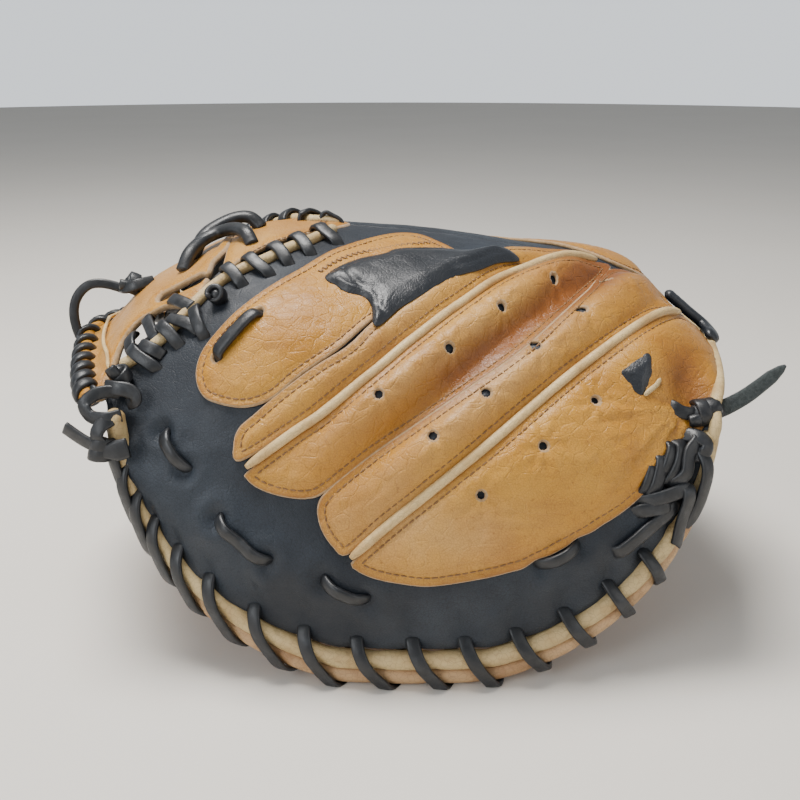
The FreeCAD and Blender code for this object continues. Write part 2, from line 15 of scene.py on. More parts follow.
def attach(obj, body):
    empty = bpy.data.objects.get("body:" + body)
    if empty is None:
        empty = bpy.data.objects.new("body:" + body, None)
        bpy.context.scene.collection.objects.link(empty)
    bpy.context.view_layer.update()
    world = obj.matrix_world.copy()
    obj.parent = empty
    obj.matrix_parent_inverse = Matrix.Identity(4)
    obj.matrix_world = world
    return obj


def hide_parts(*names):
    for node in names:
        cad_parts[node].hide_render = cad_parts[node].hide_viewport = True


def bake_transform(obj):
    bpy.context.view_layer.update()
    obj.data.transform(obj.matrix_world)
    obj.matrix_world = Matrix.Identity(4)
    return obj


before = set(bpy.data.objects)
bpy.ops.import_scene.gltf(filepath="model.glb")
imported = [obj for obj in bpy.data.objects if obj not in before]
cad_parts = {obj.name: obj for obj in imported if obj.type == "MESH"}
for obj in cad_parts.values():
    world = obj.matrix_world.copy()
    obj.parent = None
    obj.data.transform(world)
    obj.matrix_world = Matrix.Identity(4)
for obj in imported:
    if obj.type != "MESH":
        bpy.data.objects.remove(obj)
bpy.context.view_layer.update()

# ---------------------------------------------------------------- the dome, as in the CAD
SHIFT = np.array([1.8, 4.0, -1.3])      # from the model frame to the row frame
FINGER, THUMB = -1, 1
LABEL = {FINGER: "finger", THUMB: "thumb"}
CREST = np.array([(-146, 8, 122), (-112, 12, 150), (-66, 18, 170), (-10, 20, 170),
                  (50, 18, 163), (105, 10, 152), (148, 2, 122)], float)
RIM_CENTRE, RIM_HALF_WIDTH, RIM_HEIGHT, RIM_LEVEL, RIM_FLAT = 6, 122, 88, 98, 3
RIM_REACH, THUMB_INSET, RIM_BOW, BOW_SPAN, THUMB_SHARE = 115, 8, 75, 150, 0.94
ROUNDNESS, CORE_LENGTH, CORE_LEVEL = 0.85, 150, 55
RIM_START, RIM_TURN = math.radians(172), math.radians(196)
TILT = math.radians(55)                 # slope of the board that panels are drawn on
BOARD_LOW = 58
WRIST_END = 0.985
LEATHER, LINING, PLAY = 2.6, 1.6, 0.4


def smooth(value):
    """Ease from 0 to 1 with level ends."""
    value = np.clip(value, 0.0, 1.0)
    return value * value * (3 - 2 * value)


def bump(value, centre, width):
    """Rounded ridge of height 1 over a line."""
    return np.exp(-((value - centre) / width) ** 2)


def unit(vectors):
    return vectors / np.maximum(np.linalg.norm(vectors, axis=-1, keepdims=True), 1e-9)


def catmull(before, start, end, after, step):
    """Point between start and end of a Catmull-Rom curve."""
    return 0.5 * (2 * start + (end - before) * step
                  + (2 * before - 5 * start + 4 * end - after) * step ** 2
                  + (3 * start - before - 3 * end + after) * step ** 3)


def crest_point(along):
    """Point of the crest for along from 0 at the web to 1 at the wrist."""
    points = np.vstack([2 * CREST[0] - CREST[1], CREST, 2 * CREST[-1] - CREST[-2]])
    place = np.clip(along, 0, 1) * (len(CREST) - 1)
    index = np.minimum(place.astype(int), len(CREST) - 2)
    step = (place - index)[..., None]
    return catmull(*(points[index + shift] for shift in range(4)), step)


def rim_point(side, along):
    """Point of a rim, from the web corner through the lowest point to the wrist corner."""
    share = 1.0 if side == FINGER else THUMB_SHARE
    turn = RIM_START + RIM_TURN * along
    offset, arc = share * RIM_HALF_WIDTH * np.cos(turn), share * RIM_HEIGHT
    rise = np.maximum(arc * (1 + np.sin(turn)) - RIM_FLAT, 0) * arc / (arc - RIM_FLAT)
    bow = RIM_BOW * (1 - np.sqrt(1 - (offset / BOW_SPAN) ** 2))
    reach = RIM_REACH - (0 if side == FINGER else THUMB_INSET)
    return np.stack([RIM_CENTRE * share + offset, side * (reach - bow),
                     RIM_LEVEL - RIM_HEIGHT + rise], -1)


def dome_point(side, along, rise):
    """Point of the dome's outer surface; rise is 0 at the rim and 1 at the crest."""
    along, rise = np.broadcast_arrays(np.asarray(along, float), np.asarray(rise, float))
    low, high = rim_point(side, along), crest_point(along)
    corner = np.stack([0.6 * low[..., 0] + 0.4 * high[..., 0], low[..., 1], high[..., 2]], -1)
    centre = low + high - corner
    reach_low = np.abs(np.cos(rise * math.pi / 2)) ** ROUNDNESS
    reach_high = np.abs(np.sin(rise * math.pi / 2)) ** ROUNDNESS
    return centre + (low - centre) * reach_low[..., None] + (high - centre) * reach_high[..., None]


def dome_out(side, along, rise):
    """Unit direction out of the mitt, away from a core line in the pocket."""
    point = dome_point(side, along, rise)
    along = np.broadcast_to(np.asarray(along, float), point.shape[:-1])
    core = np.stack([RIM_CENTRE + CORE_LENGTH * (along - 0.5), 0 * along, 0 * along + CORE_LEVEL], -1)
    return unit(point - core)


def board(side, points):
    """Coordinates on a board that leans against one half: a along X, b up the slope."""
    return (points[..., 0],
            -side * math.cos(TILT) * points[..., 1] + math.sin(TILT) * points[..., 2] + BOARD_LOW)


def locate(side, a, b):
    """The dome's (along, rise) that lie straight over board points."""
    a, b = np.asarray(a, float), np.asarray(b, float)
    along = np.clip((a + 140) / 285, 0.02, 0.98)
    rise = np.clip((b - 25) / 175, 0.03, 0.95)
    step = 1e-3
    for _ in range(45):
        here_a, here_b = board(side, dome_point(side, along, rise))
        miss_a, miss_b = a - here_a, b - here_b
        along_a, along_b = board(side, dome_point(side, along + step, rise))
        rise_a, rise_b = board(side, dome_point(side, along, rise + step))
        aa, ab = (along_a - here_a) / step, (along_b - here_b) / step
        ra, rb = (rise_a - here_a) / step, (rise_b - here_b) / step
        spread = aa * rb - ra * ab
        spread = np.where(np.abs(spread) < 1, np.sign(spread) + (spread == 0), spread)
        along = np.clip(along + 0.6 * (miss_a * rb - miss_b * ra) / spread, 0.0, 0.998)
        rise = np.clip(rise + 0.6 * (miss_b * aa - miss_a * ab) / spread, 0.01, 0.995)
    return along, rise


# ---------------------------------------------------------------- relief of the leather
def noise(x, y, seed, octaves=3):
    """Smooth value noise from -1 to 1, with one unit as its largest cell."""
    table = np.random.default_rng(seed).random((64, 64)) * 2 - 1
    total, weight = np.zeros(np.broadcast(x, y).shape), 0.0
    for octave in range(octaves):
        scale, share = 2.0 ** octave, 0.55 ** octave
        px, py = x * scale + 37.7 * octave, y * scale + 11.3 * octave
        ix, iy = np.floor(px).astype(int), np.floor(py).astype(int)
        fx, fy = smooth(px - ix), smooth(py - iy)
        corner = [[table[(ix + dx) % 64, (iy + dy) % 64] for dy in (0, 1)] for dx in (0, 1)]
        near = corner[0][0] * (1 - fy) + corner[0][1] * fy
        far = corner[1][0] * (1 - fy) + corner[1][1] * fy
        total += share * (near * (1 - fx) + far * fx)
        weight += share
    return total / weight


VALLEY_START, VALLEY_RUN, VALLEY_LENGTH = (-27, 71), (0.75, 0.661), 168


def valley_place(a, b):
    """Place along the valley between the fingers (0 to 1) and distance across it."""
    da, db = a - VALLEY_START[0], b - VALLEY_START[1]
    return ((da * VALLEY_RUN[0] + db * VALLEY_RUN[1]) / VALLEY_LENGTH,
            db * VALLEY_RUN[0] - da * VALLEY_RUN[1])


VENT_HOLES = [(-8, 106), (20, 126), (42, 146), (67, 165), (13, 90), (34, 107), (55, 128),
              (76, 146), (94, 171), (32, 68), (56, 87), (79, 106)]
ANCHOR_BARS = [((-98, 95), (-88, 79)), ((-74, 60), (-53, 43)), ((-31, 36), (-13, 28)),
               ((55, 42), (72, 50))]
INDEX_BAR = ((-74, 123), (-56, 141))
LACE_STOPS = (0.072, 0.108, 0.146, 0.184, 0.227, 0.274, 0.332, 0.388, 0.443, 0.499, 0.551, 0.604,
              0.658, 0.713, 0.765, 0.815)


def finger_relief(a, b):
    """Height of the finger half's leather over the dome: finger ridges, valley, stall and heel."""
    place, across = valley_place(a, b)
    fade = smooth((place + 0.08) / 0.35) * smooth((1.2 - place) / 0.3)
    fingers = (-5.0 * bump(across, 0, 6.5) + 3.4 * bump(across, 13, 7) + 3.6 * bump(across, -14, 7.5)
               - 1.6 * bump(across, 24, 3.5) - 1.8 * bump(across, -28, 4) + 2.6 * bump(across, 35, 7))
    stall = 4.5 * np.exp(-((a + 44) / 27) ** 2 - ((b - 133) / 23) ** 2)
    heel = (3.6 * np.exp(-((a - 62) / 36) ** 2 - ((b - 84) / 18) ** 2)
            - 4.5 * np.exp(-((a - 121) / 9) ** 2 - ((b - 112) / 15) ** 2)
            + 2.5 * np.exp(-((a - 100) / 14) ** 2 - ((b - 128) / 14) ** 2))
    return fingers * fade + stall + heel


def thumb_relief(a, b):
    """Height of the thumb half's leather over the dome: the thumb stall and the heel."""
    line = 108 + 0.0016 * (a + 12) ** 2 + 0.06 * (a + 34)
    fade = smooth((a + 70) / 50) * smooth((150 - a) / 50)
    return fade * (4.0 * bump(b, line + 17, 14) + 3.0 * bump(b, line - 15, 12)
                   - 1.5 * bump(b, line, 4))


def dimples(a, b, spots, radius, depth):
    """Small hollows with raised lips where laces dive into the leather."""
    total = 0 * a
    for spot_a, spot_b in spots:
        away = np.hypot(a - spot_a, b - spot_b)
        total = total - depth * bump(away, 0, radius) + 0.35 * depth * bump(away, 2.1 * radius, radius)
    return total


def rim_roll(along, rise):
    """The padded roll just above the binding, pinched at every lace hole."""
    pinch = sum(bump(along, stop, 0.011) for stop in LACE_STOPS)
    return 2.6 * bump(rise, 0.12, 0.07) - 1.6 * pinch * bump(rise, 0.055, 0.035)


def relief(side, along, rise):
    """Height of the whole back over the dome."""
    a, b = board(side, dome_point(side, along, rise))
    shape = finger_relief(a, b) if side == FINGER else thumb_relief(a, b)
    shape = shape * smooth((1.0 - rise) / 0.16)
    if side == FINGER:
        shape = shape + dimples(a, b, [end for bar in ANCHOR_BARS for end in bar], 3.4, 2.2)
    waves = 0.55 * noise(a / 26, b / 20, 3 + side)
    return shape + rim_roll(along, rise) + waves * smooth(rise / 0.1)


def skin(side, along, rise, lift):
    """Point on the back, lifted off the leather's outer face."""
    lift = np.asarray(lift + relief(side, along, rise))
    return dome_point(side, along, rise) + dome_out(side, along, rise) * lift[..., None]


# ---------------------------------------------------------------- flat outlines
def walk(path):
    """Distance walked along a path at each of its points."""
    return np.concatenate([[0], np.cumsum(np.linalg.norm(np.diff(path, axis=0), axis=1))])


def resample(points, spacing, closed=False):
    """Catmull-Rom curve through points, walked at even steps."""
    points = np.asarray(points, float)
    around = (np.vstack([points[-1], points, points[:2]]) if closed else
              np.vstack([2 * points[0] - points[1], points, 2 * points[-1] - points[-2]]))
    share = np.linspace(0, 1, 24, endpoint=False)[:, None]
    runs = [catmull(*four, share) for four in zip(around, around[1:], around[2:], around[3:])]
    curve = np.vstack(runs + [points[:1] if closed else points[-1:]])
    walked = walk(curve)
    count = max(int(round(walked[-1] / spacing)), 4)
    stops = np.linspace(0, walked[-1], count + 1)[:-1 if closed else None]
    return np.stack([np.interp(stops, walked, curve[:, k]) for k in range(points.shape[1])], -1)


def outline_loop(points, spacing):
    """Closed anticlockwise outline through points."""
    loop = resample(points, spacing, closed=True)
    return loop if np.cross(loop, np.roll(loop, -1, 0)).sum() > 0 else loop[::-1]


def loop_normals(loop):
    run = np.roll(loop, -1, 0) - np.roll(loop, 1, 0)
    return unit(np.stack([-run[:, 1], run[:, 0]], -1))


def inside(loop, points):
    """Which points lie inside a closed loop."""
    x, y = points[:, 0][:, None], points[:, 1][:, None]
    x0, y0 = loop[:, 0][None], loop[:, 1][None]
    x1, y1 = np.roll(loop[:, 0], -1)[None], np.roll(loop[:, 1], -1)[None]
    crosses = (y0 > y) != (y1 > y)
    level = np.where(y1 == y0, 1e-9, y1 - y0)
    return (crosses & (x < x0 + (y - y0) * (x1 - x0) / level)).sum(1) % 2 == 1


def distance(line, points, closed=True):
    """Distance of each point to a line of points."""
    starts = line if closed else line[:-1]
    runs = (np.roll(line, -1, 0) if closed else line[1:]) - starts
    best = np.full(len(points), 1e9)
    for first in range(0, len(points), 2000):
        gap = points[first:first + 2000, None] - starts[None]
        share = np.clip((gap * runs).sum(-1) / np.maximum((runs ** 2).sum(-1), 1e-9), 0, 1)
        away = np.linalg.norm(gap - share[..., None] * runs[None], axis=-1)
        best[first:first + 2000] = away.min(1)
    return best


def fill(loops, spacing):
    """Even triangles inside the first loop and outside the others."""
    low, high = loops[0].min(0), loops[0].max(0)
    rows = []
    for number, level in enumerate(np.arange(low[1], high[1], spacing * 0.87)):
        line = np.arange(low[0] + (number % 2) * spacing / 2, high[0], spacing)
        rows.append(np.stack([line, np.full(len(line), level)], -1))
    grid = np.vstack(rows)
    grid = grid[inside(loops[0], grid)]
    for number, loop in enumerate(loops):
        keep = distance(loop, grid) > 0.55 * spacing
        if number:
            keep &= ~inside(loop, grid)
        grid = grid[keep]
    edges, count = [], 0
    for loop in loops:
        edges += [(count + k, count + (k + 1) % len(loop)) for k in range(len(loop))]
        count += len(loop)
    given = [Vector(point) for point in np.vstack(loops + [grid])]
    points, _, faces = geometry.delaunay_2d_cdt(given, edges, [], 0, 1e-5)[:3]
    points, faces = np.array([tuple(p) for p in points]), np.array(faces)
    middle = points[faces].mean(1)
    keep = inside(loops[0], middle)
    for loop in loops[1:]:
        keep &= ~inside(loop, middle)
    return points, faces[keep]


def circle(centre, radius, count=18):
    turn = np.arange(count) * 2 * math.pi / count
    return np.stack([centre[0] + radius * np.cos(turn), centre[1] + radius * np.sin(turn)], -1)


def slit(start, end, width):
    """Long rounded hole round a line."""
    start, end = np.array(start, float), np.array(end, float)
    heading = math.atan2(*(end - start)[::-1])
    turn = np.linspace(-math.pi / 2, math.pi / 2, 8)
    caps = [centre + width / 2 * np.stack([np.cos(turn + way), np.sin(turn + way)], -1)
            for centre, way in ((end, heading), (start, heading + math.pi))]
    return np.vstack(caps)


# ---------------------------------------------------------------- meshes
def to_row_frame(points):
    return (np.asarray(points, float) + SHIFT) * 0.001


def add_mesh(name, points, faces, material, **channels):
    """New object from model-frame points; channels are per-point numbers for the material."""
    mesh = bpy.data.meshes.new(name)
    mesh.from_pydata(to_row_frame(points).tolist(), [], faces)
    for channel, values in channels.items():
        mesh.attributes.new(channel, "FLOAT", "POINT").data.foreach_set(
            "value", np.asarray(values, np.float32))
    work = bmesh.new()
    work.from_mesh(mesh)
    bmesh.ops.recalc_face_normals(work, faces=work.faces)
    work.to_mesh(mesh)
    work.free()
    mesh.shade_smooth()
    mesh.materials.append(material)
    piece = bpy.data.objects.new(name, mesh)
    bpy.context.scene.collection.objects.link(piece)
    return piece


def boundary_loops(faces):
    """Loops of points along the open edges of a sheet, in the direction of its faces."""
    edges = {(int(face[k]), int(face[(k + 1) % len(face)])) for face in faces for k in range(len(face))}
    following = {start: end for start, end in edges if (end, start) not in edges}
    loops = []
    while following:
        start, here = following.popitem()
        loop = [start]
        while here != start:
            loop.append(here)
            here = following.pop(here)
        loops.append(np.array(loop))
    return loops


def closed_sheet(name, top, bottom, faces, material, cut=None, **channels):
    """Closed sheet of leather between two faces, with a rounded edge of its own material."""
    count = len(top)
    points, made = [top, bottom], [tuple(map(int, face)) for face in faces]
    made += [tuple(int(k) + count for k in face[::-1]) for face in faces]
    values = {key: [np.asarray(value), np.asarray(value)] for key, value in channels.items()}
    middle, half, total = (top + bottom) / 2, (top - bottom) / 2, 2 * count
    for loop in boundary_loops(faces):
        run = middle[np.roll(loop, -1)] - middle[np.roll(loop, 1)]
        away = unit(np.cross(run, half[loop])) * np.linalg.norm(half[loop], axis=-1)[:, None]
        rings = [loop]
        for turn in (math.pi / 4, math.pi / 2, 3 * math.pi / 4):
            points.append(middle[loop] + half[loop] * math.cos(turn) + away * math.sin(turn) * 0.8)
            for value in values.values():
                value.append(value[0][loop])
            rings.append(np.arange(total, total + len(loop)))
            total += len(loop)
        rings.append(loop + count)
        for upper, lower in zip(rings, rings[1:]):
            made += [(int(upper[j]), int(upper[k]), int(lower[k]), int(lower[j]))
                     for k, j in zip(range(len(loop)), list(range(1, len(loop))) + [0])]
    sheet = add_mesh(name, np.vstack(points), made, material,
                     **{key: np.concatenate(value) for key, value in values.items()})
    if cut:
        sheet.data.materials.append(cut)
        for number in range(2 * len(faces), len(made)):
            sheet.data.polygons[number].material_index = 1
    return sheet


def grid_faces(rows, columns, is_flipped=False):
    faces = [(i * columns + j, (i + 1) * columns + j, (i + 1) * columns + j + 1, i * columns + j + 1)
             for i in range(rows - 1) for j in range(columns - 1)]
    return [face[::-1] for face in faces] if is_flipped else faces


def sweep(name, path, ups, profile, material, scales=None, is_closed=False):
    """Solid along a path: the profile's x lies across the path and its y along the up direction."""
    path, count = np.asarray(path, float), len(profile)
    if is_closed:
        run = np.roll(path, -1, 0) - np.roll(path, 1, 0)
    else:
        run = np.gradient(path, axis=0)
    run = unit(run)
    across = unit(np.cross(run, np.broadcast_to(ups, path.shape)))
    up = np.cross(across, run)
    scales = np.ones((len(path), 2)) if scales is None else np.asarray(scales)
    if scales.ndim == 1:
        scales = np.stack([scales, scales], -1)
    points = (path[:, None] + across[:, None] * (profile[None, :, 0] * scales[:, None, 0])[..., None]
              + up[:, None] * (profile[None, :, 1] * scales[:, None, 1])[..., None])
    faces, rings = [], len(path)
    for i in range(rings if is_closed else rings - 1):
        for j in range(count):
            k = (j + 1) % count
            nearer, farther = i * count, ((i + 1) % rings) * count
            faces.append((nearer + j, nearer + k, farther + k, farther + j))
    if not is_closed:
        faces += [tuple(range(count))[::-1], tuple(range((rings - 1) * count, rings * count))]
    return add_mesh(name, points.reshape(-1, 3), faces, material)


def oval(width, height, count=12, squareness=1.0):
    """Closed profile, from an ellipse (squareness 1) towards a rounded bar (below 1)."""
    turn = np.arange(count) * 2 * math.pi / count
    cosine, sine = np.cos(turn), np.sin(turn)
    return np.stack([width / 2 * np.sign(cosine) * np.abs(cosine) ** squareness,
                     height / 2 * np.sign(sine) * np.abs(sine) ** squareness], -1)


LACE = oval(5.6, 2.3, 12, 0.55)


def widths(scale):
    """Sweep scales that change a lace's width and keep its thickness."""
    return np.stack([scale, np.ones(len(scale))], -1)


def rounded_ends(count, share=0.08):
    """Scale along a sweep that closes its two ends in a dome."""
    place = np.linspace(0, 1, count)
    nearest = np.minimum(place, 1 - place) / share
    return np.sqrt(np.clip(1 - (1 - np.clip(nearest, 0.04, 1)) ** 2, 0, 1))


def join(pieces, name):
    """One object from several that share a material."""
    mesh_work = bmesh.new()
    for piece in pieces:
        mesh_work.from_mesh(piece.data)
    mesh = pieces[0].data.copy()
    mesh_work.to_mesh(mesh)
    mesh_work.free()
    for piece in pieces:
        bpy.data.objects.remove(piece)
    mesh.shade_smooth()
    made = bpy.data.objects.new(name, mesh)
    bpy.context.scene.collection.objects.link(made)
    return made


# ---------------------------------------------------------------- placing pieces on bodies
BENDS = {
    "finger_bend": ("finger_side", "web", (0, -0.045, 0.16), (0, 0.006, 0.16)),
    "thumb_bend": ("web", "thumb_side", (0, 0.028, 0.16), (0, 0.075, 0.16)),
    "finger_gap": ("finger_side", "web", (0, -0.056, 0.15), (0, -0.034, 0.15)),
    "thumb_gap": ("web", "thumb_side", (0, 0.062, 0.15), (0, 0.084, 0.15)),
}


def settle(piece, zone, slot_name, *nodes):
    """Attach a piece to its body, or for a bend zone bake its transform and leave it unattached, and hide the
    CAD nodes it stands for; slot_name is not used.
    """
    if zone in BENDS:
        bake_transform(piece)
    else:
        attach(piece, zone)
    if nodes:
        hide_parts(*nodes)
    return piece


def bend_of(side):
    return f"{LABEL[side]}_bend"


def body_of(side):
    return f"{LABEL[side]}_side"


# ---------------------------------------------------------------- materials
class Finish:
    """A node material built step by step around one Principled shader."""

    def __init__(self, name, roughness, **sockets):
        self.material = bpy.data.materials.new(name)
        self.material.use_nodes = True
        self.tree = self.material.node_tree
        self.shader = self.tree.nodes["Principled BSDF"]
        self.shader.inputs["Roughness"].default_value = roughness
        for socket, value in sockets.items():
            self.shader.inputs[socket.replace("_", " ")].default_value = value
        self.place = self.tree.nodes.new("ShaderNodeTexCoord").outputs["Object"]
        self.height = None

    def link(self, source, target):
        if isinstance(source, bpy.types.NodeSocket):
            self.tree.links.new(source, target)
        else:
            target.default_value = source

    def add(self, kind, **inputs):
        """New node whose inputs take numbers or other nodes' outputs."""
        node = self.tree.nodes.new(f"ShaderNode{kind}")
        for name, value in inputs.items():
            self.link(value, node.inputs[name.replace("_", " ")])
        return node

    def stretched(self, scale):
        return self.add("Mapping", Vector=self.place, Scale=scale).outputs["Vector"]

    def noise(self, scale, detail=4.0, rough=0.55, distortion=0.0, place=None):
        return self.add("TexNoise", Vector=place or self.place, Scale=scale, Detail=detail,
                        Roughness=rough, Distortion=distortion).outputs["Fac"]

    def cells(self, scale, place=None):
        """Distance to the edge of the nearest cell."""
        node = self.add("TexVoronoi", Vector=place or self.place, Scale=scale)
        node.feature = "DISTANCE_TO_EDGE"
        return node.outputs["Distance"]

    def channel(self, name):
        node = self.add("Attribute")
        node.attribute_name = name
        return node.outputs["Fac"]

    def remap(self, value, low, high, to_low=0.0, to_high=1.0):
        node = self.add("MapRange", Value=value, From_Min=low, From_Max=high, To_Min=to_low, To_Max=to_high)
        node.interpolation_type = "SMOOTHSTEP"
        return node.outputs["Result"]

    def maths(self, operation, first, second):
        node = self.add("Math")
        node.operation = operation
        self.link(first, node.inputs[0])
        self.link(second, node.inputs[1])
        return node.outputs[0]

    def mix(self, share, first, second):
        node = self.add("Mix")
        node.data_type = "RGBA"
        self.link(share, node.inputs["Factor"])
        for key, colour in (("A", first), ("B", second)):
            target = next(s for s in node.inputs if s.name == key and s.type == "RGBA")
            self.link(colour if isinstance(colour, bpy.types.NodeSocket) else (*colour, 1.0), target)
        return next(s for s in node.outputs if s.type == "RGBA")

    def colour(self, value):
        self.tree.links.new(value, self.shader.inputs["Base Color"])

    def rough(self, value):
        self.tree.links.new(value, self.shader.inputs["Roughness"])

    def emboss(self, height, distance, strength=1.0):
        """Add one layer of bump over the last."""
        node = self.add("Bump", Height=height, Distance=distance, Strength=strength)
        if self.height is not None:
            self.tree.links.new(self.height, node.inputs["Normal"])
        self.height = node.outputs["Normal"]
        self.tree.links.new(self.height, self.shader.inputs["Normal"])


def tan_leather(name, base, light, deep, worn):
    """Broken-in tan hide: mottled and pebbled, darkened towards reddish brown by real patina and by painted
    shade in the folds, and paled by real wear and by painted highlights on the ridges.
    """
    finish = Finish(name, 0.4, Coat_Weight=0.1, Coat_Roughness=0.3, Specular_IOR_Level=0.38)
    patches = finish.noise(22, 5, 0.6)
    colour = finish.mix(finish.remap(patches, 0.35, 0.68), base, light)
    streaks = finish.noise(9, 6, 0.65, 0.6, finish.stretched((1.0, 2.2, 3.0)))
    colour = finish.mix(finish.remap(streaks, 0.5, 0.75, 0, 0.55), colour, deep)
    # Darker where the first channel marks real patina and painted shade in hollows; paler where the second
    # marks real wear and painted highlights on ridges.
    colour = finish.mix(finish.maths("MULTIPLY", finish.channel("patina"), 0.85), colour, deep)
    colour = finish.mix(finish.maths("MULTIPLY", finish.channel("worn"), 0.7), colour, worn)
    pores = finish.cells(900)
    colour = finish.mix(finish.remap(pores, 0.0, 0.12, 0.3, 0.0), colour, deep)
    specks = finish.noise(600, 2, 0.5)
    colour = finish.mix(finish.remap(specks, 0.62, 0.75, 0, 0.35), colour, deep)
    finish.colour(colour)
    finish.rough(finish.remap(finish.noise(60, 4), 0.3, 0.7, 0.34, 0.52))
    creases = finish.cells(170, place=finish.stretched((1.0, 1.4, 1.0)))
    finish.emboss(finish.noise(35, 5, 0.6), 0.0015, 0.45)
    finish.emboss(finish.remap(creases, 0.0, 0.09), 0.0003, 0.5)
    finish.emboss(finish.remap(pores, 0.0, 0.2), 0.00012, 0.55)
    finish.emboss(finish.noise(1500, 2), 0.0001, 0.4)
    return finish.material


def dark_leather(name, base, light, rough=(0.44, 0.62), coat=0.04, pores=800):
    """Black hide with a fine pebble and a bluish bloom where it has been rubbed."""
    finish = Finish(name, 0.5, Coat_Weight=coat, Coat_Roughness=0.35, Specular_IOR_Level=0.36)
    colour = finish.mix(finish.remap(finish.noise(16, 5, 0.65), 0.38, 0.7), base, light)
    pebble = finish.cells(pores)
    colour = finish.mix(finish.remap(pebble, 0.0, 0.12, 0.5, 0.0), colour, tuple(0.4 * c for c in base))
    finish.colour(colour)
    finish.rough(finish.remap(finish.noise(90, 4), 0.3, 0.7, *rough))
    finish.emboss(finish.noise(45, 5, 0.65), 0.001, 0.4)
    finish.emboss(finish.remap(finish.cells(240), 0.0, 0.1), 0.0002, 0.25)
    finish.emboss(finish.remap(pebble, 0.0, 0.2), 0.00012, 0.4)
    return finish.material


def pale_edge(name, base, dirt, rough=0.5):
    """Cream leather strip, soiled in patches and cracked across."""
    finish = Finish(name, rough, Specular_IOR_Level=0.4)
    colour = finish.mix(finish.remap(finish.noise(55, 5, 0.65), 0.4, 0.72), base, dirt)
    cracks = finish.cells(420)
    colour = finish.mix(finish.remap(cracks, 0.0, 0.06, 0.35, 0.0), colour, tuple(0.5 * c for c in dirt))
    finish.colour(colour)
    finish.rough(finish.remap(finish.noise(120, 3), 0.3, 0.7, rough - 0.08, rough + 0.12))
    finish.emboss(finish.noise(180, 4), 0.0005, 0.4)
    finish.emboss(finish.remap(cracks, 0.0, 0.1), 0.00015, 0.5)
    return finish.material


def lace_hide(name, base, light, rough=(0.35, 0.55)):
    """Oiled rawhide lace: fibrous grain on the surface and shine that varies in patches."""
    finish = Finish(name, 0.45, Coat_Weight=0.15, Coat_Roughness=0.3)
    colour = finish.mix(finish.remap(finish.noise(140, 5, 0.7), 0.45, 0.75), base, light)
    finish.colour(colour)
    finish.rough(finish.remap(finish.noise(220, 3), 0.3, 0.7, *rough))
    finish.emboss(finish.noise(260, 5, 0.7), 0.0005, 0.45)
    finish.emboss(finish.noise(1400, 2), 0.00012, 0.5)
    return finish.material


def nap(name, base, light, scale=700):
    """Felt, suede or soft lining."""
    finish = Finish(name, 0.92, Sheen_Weight=0.25, Sheen_Roughness=0.6, Specular_IOR_Level=0.25)
    fibres = finish.noise(scale, 6, 0.75)
    finish.colour(finish.mix(finish.remap(fibres, 0.35, 0.68), base, light))
    finish.emboss(fibres, 0.0004, 0.7)
    return finish.material


TAN = tan_leather("tan_leather", (0.46, 0.205, 0.022), (0.55, 0.275, 0.036), (0.17, 0.042, 0.006),
                  (0.60, 0.37, 0.15))
PALM = tan_leather("palm_leather", (0.40, 0.17, 0.022), (0.48, 0.23, 0.04), (0.11, 0.03, 0.006),
                   (0.54, 0.32, 0.13))
BLACK = dark_leather("black_leather", (0.013, 0.017, 0.024), (0.026, 0.034, 0.046))
HOOD_BLACK = dark_leather("hood_leather", (0.013, 0.015, 0.019), (0.026, 0.030, 0.037), (0.3, 0.45), 0.25)
BINDING = pale_edge("binding_leather", (0.56, 0.42, 0.21), (0.40, 0.26, 0.11))
PALM_BINDING = pale_edge("palm_binding_leather", (0.52, 0.33, 0.17), (0.34, 0.18, 0.08))
PIPING = pale_edge("piping_leather", (0.66, 0.48, 0.23), (0.50, 0.32, 0.13), 0.42)
LACE_BLACK = lace_hide("lace_leather", (0.008, 0.009, 0.011), (0.022, 0.025, 0.030))
SUEDE = nap("suede_end", (0.02, 0.026, 0.027), (0.05, 0.062, 0.062))
RAW = nap("raw_edge", (0.32, 0.19, 0.08), (0.44, 0.29, 0.15), 500)
LINER = nap("lining_cloth", (0.02, 0.02, 0.022), (0.045, 0.045, 0.05))
FELT = nap("felt", (0.55, 0.52, 0.45), (0.7, 0.67, 0.6))
THREAD = lace_hide("thread", (0.20, 0.10, 0.035), (0.30, 0.16, 0.06), (0.6, 0.8))


# ---------------------------------------------------------------- stitches
# rings of one stitch from end to end: share of its length, share of its radius
STITCH_RINGS = [(-0.5, 0.15), (-0.42, 0.75), (0.0, 1.0), (0.42, 0.75), (0.5, 0.15)]


